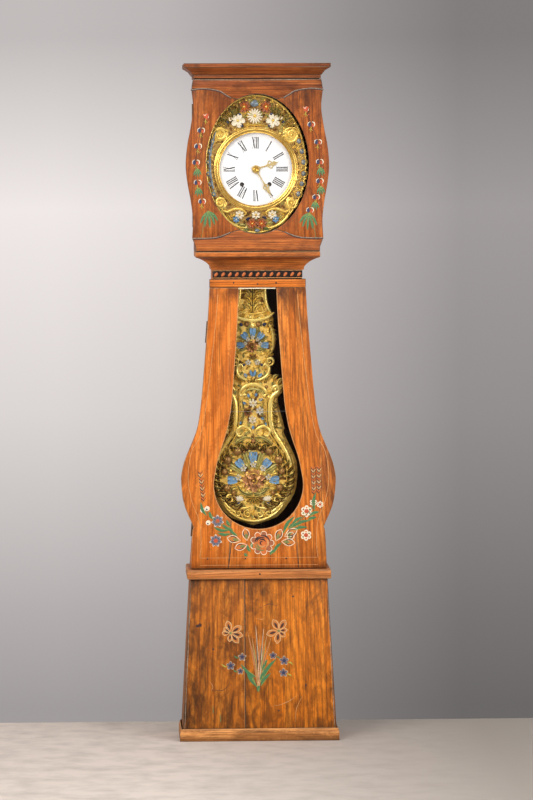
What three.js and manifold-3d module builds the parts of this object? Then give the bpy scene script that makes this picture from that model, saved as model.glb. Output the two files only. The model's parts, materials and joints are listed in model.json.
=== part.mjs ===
// Comtoise longcase clock with a violin-shaped trunk door, a large pressed brass pendulum
// and an eight-day weight-driven movement. Millimetres, +Z up, the dial looks towards -Y,
// and the origin is the middle of the footprint on the floor.
import * as THREE from "three";
import { mergeVertices } from "three/addons/utils/BufferGeometryUtils.js";
import Module from "manifold-3d";

const wasm = await Module();
wasm.setup();

// Driving dimensions of the case, from the floor up
const caseDepth = 310;
const skirtingHeight = 41;
const skirtingThickness = 6.5;
const plinthHeight = 528;
const plinthBottomHalf = 252.5;
const plinthTopHalf = 222.5;
const plinthFrontY = -97;
const plinthBoard = 20;
const sideBoard = 12;
const backBoard = 15;
const waistHeight = 31;
const waistInnerHalf = 200;
const waistWidth = 34;
const trunkHeight = 941;
const trunkBottomHalf = 221;
const neckHalf = 146;
const trunkDoorFrontY = -82.3;
const trunkDoorThickness = 20;
const trunkRailHeight = 28;
const bellyHalf = 251.4;
const windowRadius = 145;
const windowCentreShare = 0.2901;
const friezeHeight = 29.5;
const coveHeight = 42.5;
const hoodBaseThickness = 17;
const hoodBoxHeight = 561;
const hoodHalf = 202;
const hoodBoard = 16;
const hoodDoorFrontY = -125;
const hoodDoorThickness = 22;
const hoodDoorHalf = 232;
const hoodTopThickness = 10;
const corniceHeight = 38;
const corniceHalf = 237;
const corniceWidth = 61;
const ovalHalfWidth = 167;
const ovalMargin = 55.5;
const ovalRise = 3.5;

// Driving dimensions of the dial, the pendulum and the weights
const axisX = -5;
const dialBelowOval = 17;
const enamelRadius = 125;
const enamelShownRadius = 117;
const bezelRadius = 129;
const pendulumX = -15;
const pendulumHalf = 143.5;
const pendulumTopRise = 26;
const pendulumFootRise = 8;
const rodY = -16;
const seatThickness = 24.7;
const weightRadius = 39;
const weightHeight = 150;
const weightRise = 91;

// The movement is laid out in shares of its plates' height
const cageHeight = 250;
const cageDepth = 113;
const cageHalf = cageHeight * 0.488;
const windingOffsetX = cageHeight * 0.178;
const windingDrop = cageHeight * 0.196;
const dialRiseShare = 0.5308;
const pivotRiseShare = 0.9188;

// Clearances
const fit = 0.3;
const bearingGap = 0.4;
const doorGap = 2;
const overrun = 5;

// Derived levels and planes
const backY = caseDepth / 2;
const boardBackY = backY - backBoard;
const plinthBackOfFront = plinthFrontY + plinthBoard;
const waistTop = plinthHeight + waistHeight;
const trunkStraightTop = waistTop + trunkHeight;
const trunkDoorBottom = waistTop + doorGap;
const trunkDoorTop = trunkStraightTop + doorGap;
const trunkDoorHeight = trunkDoorTop - trunkDoorBottom;
const trunkDoorBackY = trunkDoorFrontY + trunkDoorThickness;
const windowCentreZ = trunkDoorBottom + windowCentreShare * trunkDoorHeight;
const coveBottom = trunkDoorTop + friezeHeight;
const hoodBaseBottom = coveBottom + coveHeight;
const hoodBaseTop = hoodBaseBottom + hoodBaseThickness;
const hoodTopBottom = hoodBaseTop + hoodBoxHeight;
const hoodTopZ = hoodTopBottom + hoodTopThickness;
const hoodDoorBackY = hoodDoorFrontY + hoodDoorThickness;
const hoodDoorBottom = hoodBaseTop + doorGap;
const hoodDoorTop = hoodTopBottom - doorGap;
const hoodDoorHeight = hoodDoorTop - hoodDoorBottom;
const ovalCentreZ = hoodBaseTop + hoodBoxHeight / 2 + ovalRise;
const ovalHalfHeight = hoodBoxHeight / 2 - ovalMargin;
const dialCentreZ = ovalCentreZ - dialBelowOval;
const cageBottomZ = dialCentreZ - dialRiseShare * cageHeight;
const cageTopZ = cageBottomZ + cageHeight;
const pendulumPivotZ = cageBottomZ + pivotRiseShare * cageHeight;
const pendulumTop = hoodBaseBottom + pendulumTopRise;
const pendulumBottom = windowCentreZ - windowRadius + pendulumFootRise;
const cheekTop = cageBottomZ - seatThickness - 2 * fit;
const weightTop = waistTop + weightRise;

// Materials, in the colours of the clock
const paint = (color, roughness, metalness = 0) => new THREE.MeshStandardMaterial({ color, roughness, metalness });
const pine = paint(0xa5672f, 0.6);
const paleOak = paint(0xb57c40, 0.6);
const redPine = paint(0x8f4a26, 0.55);
const darkWood = paint(0x4a2c18, 0.8);
const gilt = paint(0xc79a3a, 0.35, 1);
const brass = paint(0xb58b3c, 0.4, 1);
const iron = paint(0x4b4a48, 0.55, 0.9);
const castIron = paint(0x2d2c2b, 0.8, 0.6);
const enamel = paint(0xf0ece0, 0.25);
const bellMetal = paint(0xb9a06a, 0.3, 1);
const gutLine = paint(0xb9a98a, 0.8);
const pane = new THREE.MeshStandardMaterial({ color: 0xdfe8e6, roughness: 0.05, transparent: true, opacity: 0.3 });

const clock = new THREE.Group();

// A closed mesh whose points are shared becomes a solid that can be joined and cut
function solid(geometry) {
  const plain = geometry.clone();
  for (const extra of ["normal", "uv"]) plain.deleteAttribute(extra);
  const merged = mergeVertices(plain, 1e-4);
  const vertProperties = new Float32Array(merged.attributes.position.array);
  const triVerts = new Uint32Array(merged.index.array);
  return new wasm.Manifold(new wasm.Mesh({ numProp: 3, vertProperties, triVerts }));
}

function geometryOf(body) {
  const mesh = body.getMesh();
  const geometry = new THREE.BufferGeometry();
  geometry.setAttribute("position", new THREE.BufferAttribute(new Float32Array(mesh.vertProperties), 3));
  geometry.setIndex(new THREE.BufferAttribute(new Uint32Array(mesh.triVerts), 1));
  geometry.computeVertexNormals();
  return geometry;
}

const join = (...bodies) => bodies.reduce((all, body) => all.add(body));
const cut = (body, ...tools) => tools.reduce((rest, tool) => rest.subtract(tool), body);

function piece(name, body, material) {
  const mesh = new THREE.Mesh(geometryOf(body), material);
  mesh.name = name;
  clock.add(mesh);
  return body;
}

// A rectangular block between two corners
function block(x0, x1, y0, y1, z0, z1) {
  const geometry = new THREE.BoxGeometry(x1 - x0, y1 - y0, z1 - z0);
  return solid(geometry.translate((x0 + x1) / 2, (y0 + y1) / 2, (z0 + z1) / 2));
}

// A shape drawn in X and Z, with its thickness along Y
function plate(shape, frontY, thickness) {
  const geometry = new THREE.ExtrudeGeometry(shape, { depth: thickness, bevelEnabled: false });
  return solid(geometry.rotateX(Math.PI / 2).translate(0, frontY + thickness, 0));
}

// An outline in X and Z with an upright edge and a crowned front that draws in to its centre
function crownedPlate(outline, [centreX, centreZ], [backY, edgeY, frontY], drawIn) {
  const ring = (y, share) => outline.map((p) => [centreX + (p.x - centreX) * share, y, centreZ + (p.y - centreZ) * share]);
  return skin([ring(backY, 1), ring(edgeY, 1), ring(frontY, drawIn)]);
}

// A round bar along Y, centred at x and z
function barY(x, z, radius, y0, y1, sides = 12) {
  const geometry = new THREE.CylinderGeometry(radius, radius, y1 - y0, sides);
  return solid(geometry.translate(x, (y0 + y1) / 2, z));
}

// A round bar along Z, centred at x and y
function barZ(x, y, radius, z0, z1, sides = 12) {
  const geometry = new THREE.CylinderGeometry(radius, radius, z1 - z0, sides);
  return solid(geometry.rotateX(Math.PI / 2).translate(x, y, (z0 + z1) / 2));
}

// Rings with equal point counts, skinned into one closed body that faces outwards
function skin(rings) {
  const count = rings[0].length;
  const positions = rings.flat(2);
  const index = [];
  for (let ring = 0; ring + 1 < rings.length; ring++) {
    for (let i = 0; i < count; i++) {
      const a = ring * count + i;
      const b = ring * count + ((i + 1) % count);
      index.push(a, b, a + count, b, b + count, a + count);
    }
  }
  const capPoints = flatOutline(rings[0]);
  const faces = THREE.ShapeUtils.triangulateShape(capPoints, []);
  const clockwise = THREE.ShapeUtils.isClockWise(capPoints);
  const last = (rings.length - 1) * count;
  for (const [a, b, c] of faces) {
    index.push(...(clockwise ? [a, b, c] : [a, c, b]));
    index.push(...(clockwise ? [last + a, last + c, last + b] : [last + a, last + b, last + c]));
  }
  return closedBody(positions, index);
}

// The two axes in which a flat ring is widest, for its cap
function flatOutline(ring) {
  const box = new THREE.Box3().setFromPoints(ring.map((p) => new THREE.Vector3(...p)));
  const size = box.getSize(new THREE.Vector3()).toArray();
  const flat = size.indexOf(Math.min(...size));
  const axes = [0, 1, 2].filter((axis) => axis !== flat);
  return ring.map((p) => new THREE.Vector2(p[axes[0]], p[axes[1]]));
}

function closedBody(positions, index) {
  const wound = orient(positions, index);
  const geometry = new THREE.BufferGeometry();
  geometry.setAttribute("position", new THREE.Float32BufferAttribute(positions, 3));
  geometry.setIndex(wound);
  return solid(geometry);
}

// Every triangle is turned to agree with its neighbours, and the whole to face outwards
function orient(positions, index) {
  const faces = [];
  for (let i = 0; i < index.length; i += 3) faces.push(index.slice(i, i + 3));
  const edges = new Map();
  faces.forEach((face, f) => {
    for (let k = 0; k < 3; k++) {
      const [a, b] = [face[k], face[(k + 1) % 3]];
      const key = Math.min(a, b) + "_" + Math.max(a, b);
      edges.set(key, [...(edges.get(key) ?? []), f]);
    }
  });
  const seen = new Set([0]);
  const queue = [0];
  while (queue.length) {
    const face = faces[queue.pop()];
    for (let k = 0; k < 3; k++) {
      const [a, b] = [face[k], face[(k + 1) % 3]];
      for (const other of edges.get(Math.min(a, b) + "_" + Math.max(a, b))) {
        if (seen.has(other)) continue;
        const next = faces[other];
        const at = next.indexOf(a);
        if (next[(at + 1) % 3] === b) next.reverse();
        seen.add(other);
        queue.push(other);
      }
    }
  }
  const corner = (i) => new THREE.Vector3().fromArray(positions, 3 * i);
  const volume = faces.reduce((sum, [a, b, c]) => sum + corner(a).dot(corner(b).cross(corner(c))), 0);
  if (volume < 0) faces.forEach((face) => face.reverse());
  return faces.flat();
}

// A board whose left and right edges lean: [half width or x range, z] at each level
function leaningBoard(levels, y0, y1) {
  return skin(levels.map(([x0, x1, z]) => [[x0, y0, z], [x1, y0, z], [x1, y1, z], [x0, y1, z]]));
}

// A moulding mitred round the front and the two sides. The profile is [outward, z] from
// the inner face, and the path is the inner half width, the inner front and the open back.
function mouldingRound(profile, innerHalf, innerFrontY, openBackY) {
  const ring = (cornerX, cornerY, outX, outY) =>
    profile.map(([out, z]) => [cornerX + outX * out, cornerY + outY * out, z]);
  return skin([
    ring(-innerHalf, openBackY, -1, 0),
    ring(-innerHalf, innerFrontY, -1, -1),
    ring(innerHalf, innerFrontY, 1, -1),
    ring(innerHalf, openBackY, 1, 0),
  ]);
}

// A smooth line through a few chosen points
const smooth = (points, steps) => new THREE.SplineCurve(points.map(([x, z]) => new THREE.Vector2(x, z))).getPoints(steps);

// A symmetrical outline about x = 0 from its right-hand points, listed from top to bottom
function mirrored(right, centreX = 0) {
  const left = right.filter((p) => p.x > 1e-6).map((p) => new THREE.Vector2(-p.x, p.y)).reverse();
  return new THREE.Shape([...right, ...left].map((p) => new THREE.Vector2(p.x + centreX, p.y)));
}

function oval(halfWidth, halfHeight, centreX, centreZ, sides) {
  const points = [];
  for (let i = 0; i < sides; i++) {
    const turn = (2 * Math.PI * i) / sides;
    points.push(new THREE.Vector2(centreX + halfWidth * Math.cos(turn), centreZ + halfHeight * Math.sin(turn)));
  }
  return new THREE.Shape(points);
}

// Plinth: two front boards, two sides and the skirting round its foot
const plinthHalfAt = (z) => plinthBottomHalf + ((plinthTopHalf - plinthBottomHalf) * z) / plinthHeight;
const plinthJointX = -47;

function buildPlinth() {
  const frontLevels = (from, to) => [0, plinthHeight].map((z) => [from(z), to(z), z]);
  const joint = () => plinthJointX;
  const left = leaningBoard(frontLevels((z) => -plinthHalfAt(z), joint), plinthFrontY, plinthBackOfFront);
  const right = leaningBoard(frontLevels(() => plinthJointX + fit, plinthHalfAt), plinthFrontY, plinthBackOfFront);
  piece("plinth_board_left", left, pine);
  piece("plinth_board_right", right, pine);
  for (const [name, sign] of [["left", -1], ["right", 1]]) {
    const levels = frontLevels((z) => sign * plinthHalfAt(z), (z) => sign * (plinthHalfAt(z) - sideBoard));
    piece("plinth_side_" + name, leaningBoard(levels, plinthBackOfFront + fit, boardBackY - fit), pine);
  }
  const chamferShare = 0.35;
  const skirtingProfile = [
    [0, 0],
    [skirtingThickness, 0],
    [skirtingThickness, skirtingHeight * (1 - chamferShare)],
    [skirtingThickness * chamferShare, skirtingHeight],
    [0, skirtingHeight],
  ];
  piece("skirting", mouldingRound(skirtingProfile, plinthBottomHalf + fit, plinthFrontY - fit, backY), paleOak);
}

// Waist moulding: a flat band with worn arrises that caps the plinth and carries the trunk
const waistArris = 3;

function buildWaist() {
  const bottom = plinthHeight + fit;
  const top = waistTop - fit;
  const profile = [
    [0, bottom], [waistWidth - waistArris, bottom], [waistWidth, bottom + waistArris],
    [waistWidth, top - waistArris], [waistWidth - waistArris, top], [0, top],
  ];
  piece("waist_moulding", mouldingRound(profile, waistInnerHalf, plinthBackOfFront, boardBackY - fit), paleOak);
}

// Trunk: sides that lean in to the neck and rise as cheeks to the seat board, and the full back
const trunkHalfAt = (z) =>
  z > trunkStraightTop
    ? neckHalf
    : neckHalf + ((trunkBottomHalf - neckHalf) * (trunkStraightTop - z)) / (trunkStraightTop - waistTop);

// Butt hinge: the pin stands this far outside the side's face and behind the door's back
const barrelRadius = 4;
const barrelGap = 1;
const hingePinRadius = 1.8;
const hingeLength = 70;
const leafThickness = 1.6;
const leafWidth = 24;
const pinStandOff = barrelRadius + barrelGap;
const pinBehindDoor = pinStandOff + fit;
const sideFrontGap = leafThickness + 2 * fit;
const trunkSideFrontY = trunkDoorBackY + sideFrontGap;
const hoodSideFrontY = hoodDoorBackY + sideFrontGap;

function buildTrunk() {
  for (const [name, sign] of [["left", -1], ["right", 1]]) {
    const levels = [waistTop, trunkStraightTop, cheekTop].map((z) => [
      sign * trunkHalfAt(z),
      sign * (trunkHalfAt(z) - sideBoard),
      z,
    ]);
    piece("trunk_side_" + name, leaningBoard(levels, trunkSideFrontY, boardBackY - fit), pine);
  }
  const hoodBackHalf = hoodHalf - hoodBoard - fit;
  const backOutline = [
    new THREE.Vector2(hoodBackHalf, hoodTopBottom - fit),
    new THREE.Vector2(hoodBackHalf, hoodBaseBottom),
    new THREE.Vector2(neckHalf, hoodBaseBottom),
    new THREE.Vector2(neckHalf, trunkStraightTop),
    new THREE.Vector2(plinthTopHalf, plinthHeight),
    new THREE.Vector2(plinthBottomHalf, 0),
  ];
  piece("case_back", plate(mirrored(backOutline), boardBackY, backBoard), darkWood);
}

// Frieze: the neck's front board with a carved rope twist of slanted lozenges
const friezeThickness = 10;
const friezeBackY = trunkSideFrontY - fit;
const friezeFrontY = friezeBackY - friezeThickness;
const ropeCount = 13;
const ropeRelief = 3;
const strandFootShare = 0.15;
const strandHeadShare = 0.1;
const strandSlantShare = 0.45;
const strandHalfShare = 0.3;
const strandBluntShare = 0.6;

function buildFrieze() {
  const bottom = trunkDoorTop + doorGap;
  const top = hoodBaseBottom - fit;
  const board = block(-neckHalf, neckHalf, friezeFrontY, friezeBackY, bottom, top);
  const band = coveBottom - bottom;
  const pitch = (2 * neckHalf) / ropeCount;
  const low = bottom + band * strandFootShare;
  const high = coveBottom - band * strandHeadShare;
  const slant = pitch * strandSlantShare;
  const halfStrand = pitch * strandHalfShare;
  const blunt = halfStrand * strandBluntShare;
  const strands = [];
  for (let i = 0; i < ropeCount; i++) {
    const x = -neckHalf + pitch * (i + 0.5);
    const outline = [
      [x - slant / 2 - halfStrand, low],
      [x - slant / 2 + blunt, low],
      [x + slant / 2 + halfStrand, high],
      [x + slant / 2 - blunt, high],
    ].map(([px, pz]) => new THREE.Vector2(Math.max(-neckHalf, Math.min(neckHalf, px)), pz));
    strands.push(plate(new THREE.Shape(outline), friezeFrontY - ropeRelief, ropeRelief + fit));
  }
  piece("rope_frieze", join(board, ...strands), darkWood);
}

// Hood: cove, base board, sides, top board and cornice
const coveReach = hoodHalf - neckHalf - fit;
const coveSwellShares = [0.24, 0.7];
const coveFootShare = 0.08;
const corniceBreakShare = 0.66;
const corniceSwellShares = [0.35, 0.55];

function buildHood() {
  const coveTop = hoodBaseBottom - fit;
  const coveSpan = coveTop - coveBottom;
  const coveCurve = new THREE.QuadraticBezierCurve(
    new THREE.Vector2(0, coveBottom),
    new THREE.Vector2(coveReach * coveSwellShares[0], coveBottom + coveSpan * coveSwellShares[1]),
    new THREE.Vector2(coveReach, coveTop),
  );
  const coveFoot = coveReach * coveFootShare;
  const coveProfile = [
    [0, coveBottom],
    ...coveCurve.getPoints(6).map((p) => [Math.max(p.x, coveFoot), p.y]),
    [0, coveTop],
  ];
  const neckFrontY = friezeFrontY - ropeRelief;
  piece("hood_cove", mouldingRound(coveProfile, neckHalf + fit, neckFrontY - fit, backY), pine);

  const baseBackY = boardBackY - fit;
  const base = block(-hoodHalf, hoodHalf, hoodDoorFrontY, baseBackY, hoodBaseBottom, hoodBaseTop);
  const throat = block(
    -neckHalf - fit, neckHalf + fit, trunkSideFrontY - fit, boardBackY + overrun,
    hoodBaseBottom - overrun, hoodBaseTop + overrun,
  );
  piece("hood_base", cut(base, throat), pine);

  const boxBottom = hoodBaseTop + fit;
  const boxTop = hoodTopBottom - fit;
  for (const [name, sign] of [["left", -1], ["right", 1]]) {
    const edges = [sign * hoodHalf, sign * (hoodHalf - hoodBoard)].sort((a, b) => a - b);
    piece("hood_side_" + name, block(...edges, hoodSideFrontY, backY, boxBottom, boxTop), redPine);
  }

  const topHalf = hoodHalf + hoodBoard / 4;
  piece("hood_top", block(-topHalf, topHalf, hoodDoorFrontY, backY, hoodTopBottom, hoodTopZ), redPine);

  const corniceFoot = corniceWidth - (corniceHalf - topHalf) + overrun / 2;
  const corniceBottom = hoodTopZ + fit;
  const corniceTop = hoodTopZ + corniceHeight;
  const corniceBreak = hoodTopZ + corniceHeight * corniceBreakShare;
  const [swellOut, swellUp] = corniceSwellShares;
  const corniceProfile = [
    [0, corniceBottom],
    [corniceFoot, corniceBottom],
    [corniceFoot + (corniceWidth - corniceFoot) * swellOut, corniceBottom + (corniceBreak - corniceBottom) * swellUp],
    [corniceWidth, corniceBreak],
    [corniceWidth, corniceTop],
    [0, corniceTop],
  ];
  const inner = corniceHalf - corniceWidth;
  piece("cornice", mouldingRound(corniceProfile, inner, -backY + corniceWidth, backY), redPine);
}

// Trunk door: the violin front, of three boards under a top rail, with its two panes
const bellyShares = [
  [0.622, 0.97], [0.649, 0.847], [0.703, 0.668], [0.743, 0.561], [0.777, 0.5], [0.827, 0.456],
  [0.944, 0.381], [0.988, 0.337], [1, 0.299], [0.966, 0.225], [0.868, 0.16], [0.842, 0.143],
];
const footShares = [[0.856, 0.134], [0.866, 0.098], [0.88, 0]];
const windowShares = [
  [0.417, 0.975], [0.45, 0.858], [0.493, 0.761], [0.575, 0.595], [0.65, 0.512],
  [0.743, 0.454], [0.893, 0.385],
];
const windowArcStart = 0.26;
const rabbet = 6;
const glassThickness = 2.7;
const paneJointShare = 0.542;

function windowOutline(grow) {
  const radius = windowRadius + grow;
  const flank = windowShares.map(([w, h]) => [w * windowRadius + grow, trunkDoorBottom + h * trunkDoorHeight]);
  flank.push([radius * Math.cos(windowArcStart), windowCentreZ + radius * Math.sin(windowArcStart)]);
  const right = smooth(flank, 18);
  const arcSteps = 12;
  for (let i = 1; i <= arcSteps; i++) {
    const turn = windowArcStart - ((windowArcStart + Math.PI / 2) * i) / arcSteps;
    right.push(new THREE.Vector2(i === arcSteps ? 0 : radius * Math.cos(turn), windowCentreZ + radius * Math.sin(turn)));
  }
  return mirrored(right);
}

function buildTrunkDoor() {
  const outline = (shares) => shares.map(([w, h]) => [w * bellyHalf, trunkDoorBottom + h * trunkDoorHeight]);
  const foot = outline(footShares).map(([x, z]) => new THREE.Vector2(x, z));
  const front = mirrored([...smooth(outline(bellyShares), 30), ...foot]);
  const depth = trunkDoorThickness;
  let boards = plate(front, trunkDoorFrontY, depth);
  const through = plate(windowOutline(0), trunkDoorFrontY - overrun, depth + 2 * overrun);
  const seatY = trunkDoorBackY - rabbet;
  const glassSeat = plate(windowOutline(rabbet), seatY, rabbet + overrun);
  boards = cut(boards, through, glassSeat);

  const railBottom = trunkDoorTop - trunkRailHeight;
  const railHalf = bellyHalf * bellyShares[0][0];
  const boardTop = railBottom - fit;
  const sweep = bellyHalf + overrun;
  boards = cut(boards, block(-sweep, sweep, trunkDoorFrontY - overrun, trunkDoorBackY + overrun, boardTop, trunkDoorTop));
  piece("trunk_door_rail", block(-railHalf, railHalf, trunkDoorFrontY, trunkDoorBackY, railBottom, trunkDoorTop), pine);

  const leftJointShares = [-0.395, -0.345];
  const rightJointShares = [0.521, 0.465];
  const jointTopZ = windowCentreZ - windowRadius / 2;
  const joint = ([low, high], side) => [
    new THREE.Vector2(low * bellyHalf + side, trunkDoorBottom - overrun),
    new THREE.Vector2(high * bellyHalf + side, jointTopZ),
    new THREE.Vector2(high * bellyHalf + side, trunkDoorTop + overrun),
  ];
  const region = (from, to) => plate(new THREE.Shape([...from, ...to.reverse()]), trunkDoorFrontY - overrun, depth + 2 * overrun);
  const farLeft = joint([-1 - fit, -1 - fit], -overrun);
  const farRight = joint([1 + fit, 1 + fit], overrun);
  const half = fit / 2;
  const above = (x0, x1) => block(x0, x1, trunkDoorFrontY - overrun, trunkDoorBackY + overrun, jointTopZ, trunkDoorTop);
  const leftPart = join(region(farLeft, joint(leftJointShares, -half)), above(-sweep, 0));
  const rightPart = join(region(joint(rightJointShares, half), farRight), above(0, sweep));
  piece("trunk_door_board_left", boards.intersect(leftPart), pine);
  const middle = region(joint(leftJointShares, half), joint(rightJointShares, -half));
  const lower = block(-sweep, sweep, trunkDoorFrontY - overrun, trunkDoorBackY + overrun, 0, jointTopZ);
  piece("trunk_door_board_middle", boards.intersect(middle).intersect(lower), pine);
  piece("trunk_door_board_right", boards.intersect(rightPart), pine);

  const paneJointZ = trunkDoorBottom + paneJointShare * trunkDoorHeight;
  const glassY = seatY + fit;
  const glass = plate(windowOutline(rabbet - fit), glassY, glassThickness);
  const reach = windowRadius + rabbet + overrun;
  const clearY = [glassY - overrun, glassY + glassThickness + overrun];
  const upper = block(-reach, reach, ...clearY, paneJointZ + fit / 2, boardTop);
  const lowerPane = block(-reach, reach, ...clearY, 0, paneJointZ - fit / 2);
  piece("trunk_glass_upper", glass.intersect(upper), pane);
  piece("trunk_glass_lower", glass.intersect(lowerPane), pane);
}

// Hood door: two rails and two stiles with curved joints round the oval glass
const hoodFlankShares = [
  [0.892, 1], [0.914, 0.938], [0.892, 0.832], [0.935, 0.705], [0.976, 0.617], [1, 0.5],
  [0.976, 0.395], [0.933, 0.296], [0.903, 0.185], [0.914, 0.077],
];
const hoodFootShares = [[0.868, 0.022], [0.868, 0]];
const topJointShares = [[0, 0.86], [0.366, 0.89], [0.513, 0.928], [0.741, 0.944], [0.914, 0.938], [1.05, 0.936]];
const bottomJointShares = [[0, 0.15], [0.32, 0.12], [0.586, 0.081], [0.914, 0.077], [1.05, 0.077]];
const jointReachShare = 1.05;

function buildHoodDoor() {
  const at = ([w, h]) => [w * hoodDoorHalf, hoodDoorBottom + h * hoodDoorHeight];
  const foot = hoodFootShares.map(at).map(([x, z]) => new THREE.Vector2(x, z));
  const front = mirrored([...smooth(hoodFlankShares.map(at), 30), ...foot]);
  const sides = 48;
  const frame = cut(
    plate(front, hoodDoorFrontY, hoodDoorThickness),
    plate(oval(ovalHalfWidth, ovalHalfHeight, 0, ovalCentreZ, sides), hoodDoorFrontY - overrun, hoodDoorThickness + 2 * overrun),
    plate(
      oval(ovalHalfWidth + rabbet, ovalHalfHeight + rabbet, 0, ovalCentreZ, sides),
      hoodDoorBackY - rabbet, rabbet + overrun,
    ),
  );
  const seam = (shares, lift) => {
    const right = smooth(shares.map(at), 10).map((p) => new THREE.Vector2(p.x, p.y + lift));
    const left = right.slice(1).map((p) => new THREE.Vector2(-p.x, p.y)).reverse();
    return [...left, ...right];
  };
  const reach = jointReachShare * hoodDoorHalf;
  const corners = (z) => [new THREE.Vector2(reach, z), new THREE.Vector2(-reach, z)];
  const half = fit / 2;
  const zone = (points) => plate(new THREE.Shape(points), hoodDoorFrontY - overrun, hoodDoorThickness + 2 * overrun);
  const topZone = zone([...seam(topJointShares, half), ...corners(hoodDoorTop + overrun)]);
  const bottomZone = zone([...seam(bottomJointShares, -half), ...corners(hoodDoorBottom - overrun)]);
  const stiles = cut(
    frame,
    zone([...seam(topJointShares, -half), ...corners(hoodDoorTop + overrun)]),
    zone([...seam(bottomJointShares, half), ...corners(hoodDoorBottom - overrun)]),
  );
  piece("hood_door_rail_top", frame.intersect(topZone), redPine);
  piece("hood_door_rail_bottom", frame.intersect(bottomZone), redPine);
  const sideZone = (sign) => {
    const edges = [0, sign * reach].sort((a, b) => a - b);
    return block(...edges, hoodDoorFrontY - overrun, hoodDoorBackY + overrun, hoodDoorBottom, hoodDoorTop);
  };
  piece("hood_door_stile_left", stiles.intersect(sideZone(-1)), redPine);
  piece("hood_door_stile_right", stiles.intersect(sideZone(1)), redPine);
  const glassGrow = rabbet - fit;
  const glass = oval(ovalHalfWidth + glassGrow, ovalHalfHeight + glassGrow, 0, ovalCentreZ, sides);
  piece("hood_glass", plate(glass, hoodDoorBackY - rabbet + fit, glassThickness), pane);
}

// One butt hinge about its own Z: the moving leaf lies on the door's back, the other on the side
function hingeLeaves() {
  const third = hingeLength / 6;
  const end = hingeLength / 2;
  const upright = (radius, z0, z1) => barZ(0, 0, radius, z0, z1, 8);
  const leafBack = -pinBehindDoor + fit;
  const moving = cut(
    join(
      upright(barrelRadius, -third, third),
      block(0, leafWidth, leafBack, leafBack + leafThickness, -third, third),
      block(barrelRadius + bearingGap, leafWidth, leafBack, leafBack + leafThickness, -end, end),
    ),
    upright(hingePinRadius + bearingGap, -end, end),
  );
  const faceX = pinStandOff - fit - leafThickness;
  const fixed = join(
    upright(hingePinRadius, -end, end),
    upright(barrelRadius, third + bearingGap, end),
    upright(barrelRadius, -end, -third - bearingGap),
    block(faceX, faceX + leafThickness, 0, leafWidth, third + bearingGap, end),
    block(faceX, faceX + leafThickness, 0, leafWidth, -end, -third - bearingGap),
    block(faceX, faceX + leafThickness, barrelRadius + bearingGap, leafWidth, -end, end),
  );
  return { moving, fixed };
}

function placeHinge(name, x, y, z, lean) {
  const { moving, fixed } = hingeLeaves();
  const degrees = THREE.MathUtils.radToDeg(lean);
  const set = (body) => body.rotate([0, degrees, 0]).translate([x, y, z]);
  piece(name + "_leaf", set(moving), brass);
  piece(name + "_pin", set(fixed), brass);
}

const trunkHingeShares = { upper: 0.8172, lower: 0.1477 };
const hoodHingeShares = { upper: 0.7935, lower: 0.2029 };

function buildHinges() {
  const lean = Math.atan((trunkBottomHalf - neckHalf) / (trunkStraightTop - waistTop));
  for (const [level, share] of Object.entries(trunkHingeShares)) {
    const z = trunkDoorBottom + share * trunkDoorHeight;
    const x = -trunkHalfAt(z) - pinStandOff / Math.cos(lean);
    placeHinge("trunk_hinge_" + level, x, trunkDoorBackY + pinBehindDoor, z, lean);
  }
  for (const [level, share] of Object.entries(hoodHingeShares)) {
    const z = hoodDoorBottom + share * hoodDoorHeight;
    placeHinge("hood_hinge_" + level, -hoodHalf - pinStandOff, hoodDoorBackY + pinBehindDoor, z, 0);
  }
}

// Dial: a domed enamel plate behind an oval pressed brass surround with a raised bezel
const enamelThickness = 3;
const surroundThickness = 4;
const surroundCrown = 3;
const surroundCrownShare = 0.94;
const bezelHeight = 6;
const enamelFrontY = -91.7;
const surroundBackY = enamelFrontY - fit;
const surroundFrontY = surroundBackY - surroundThickness - surroundCrown;
const surroundMargin = 1.2;
const surroundHalf = ovalHalfWidth - surroundMargin;
const surroundTall = ovalHalfHeight + surroundMargin;
const windingHole = 7;
const handsHole = 7.5;

function buildDial() {
  const ovalPoints = oval(surroundHalf, surroundTall, axisX, ovalCentreZ, 40).getPoints().slice(0, 40);
  const levels = [surroundBackY, surroundBackY - surroundThickness, surroundFrontY];
  const crowned = crownedPlate(ovalPoints, [axisX, ovalCentreZ], levels, surroundCrownShare);
  const sides = 36;
  const bezel = barY(axisX, dialCentreZ, bezelRadius, surroundFrontY - bezelHeight, surroundBackY, sides);
  const flare = new THREE.CylinderGeometry(
    enamelShownRadius, bezelRadius - bezelHeight / 2, surroundThickness + surroundCrown + bezelHeight + overrun, sides,
  );
  const opening = solid(flare.translate(axisX, (surroundFrontY - bezelHeight + surroundBackY) / 2, dialCentreZ));
  piece("dial_surround", cut(join(crowned, bezel), opening), gilt);

  const disc = barY(axisX, dialCentreZ, enamelRadius, enamelFrontY, enamelFrontY + enamelThickness, sides);
  const hole = (x, z, radius) => barY(x, z, radius, enamelFrontY - overrun, enamelFrontY + enamelThickness + overrun, 10);
  const windingZ = dialCentreZ - windingDrop;
  piece("dial_plate", cut(
    disc,
    hole(axisX, dialCentreZ, handsHole),
    hole(axisX - windingOffsetX, windingZ, windingHole),
    hole(axisX + windingOffsetX, windingZ, windingHole),
  ), enamel);
}

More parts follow.
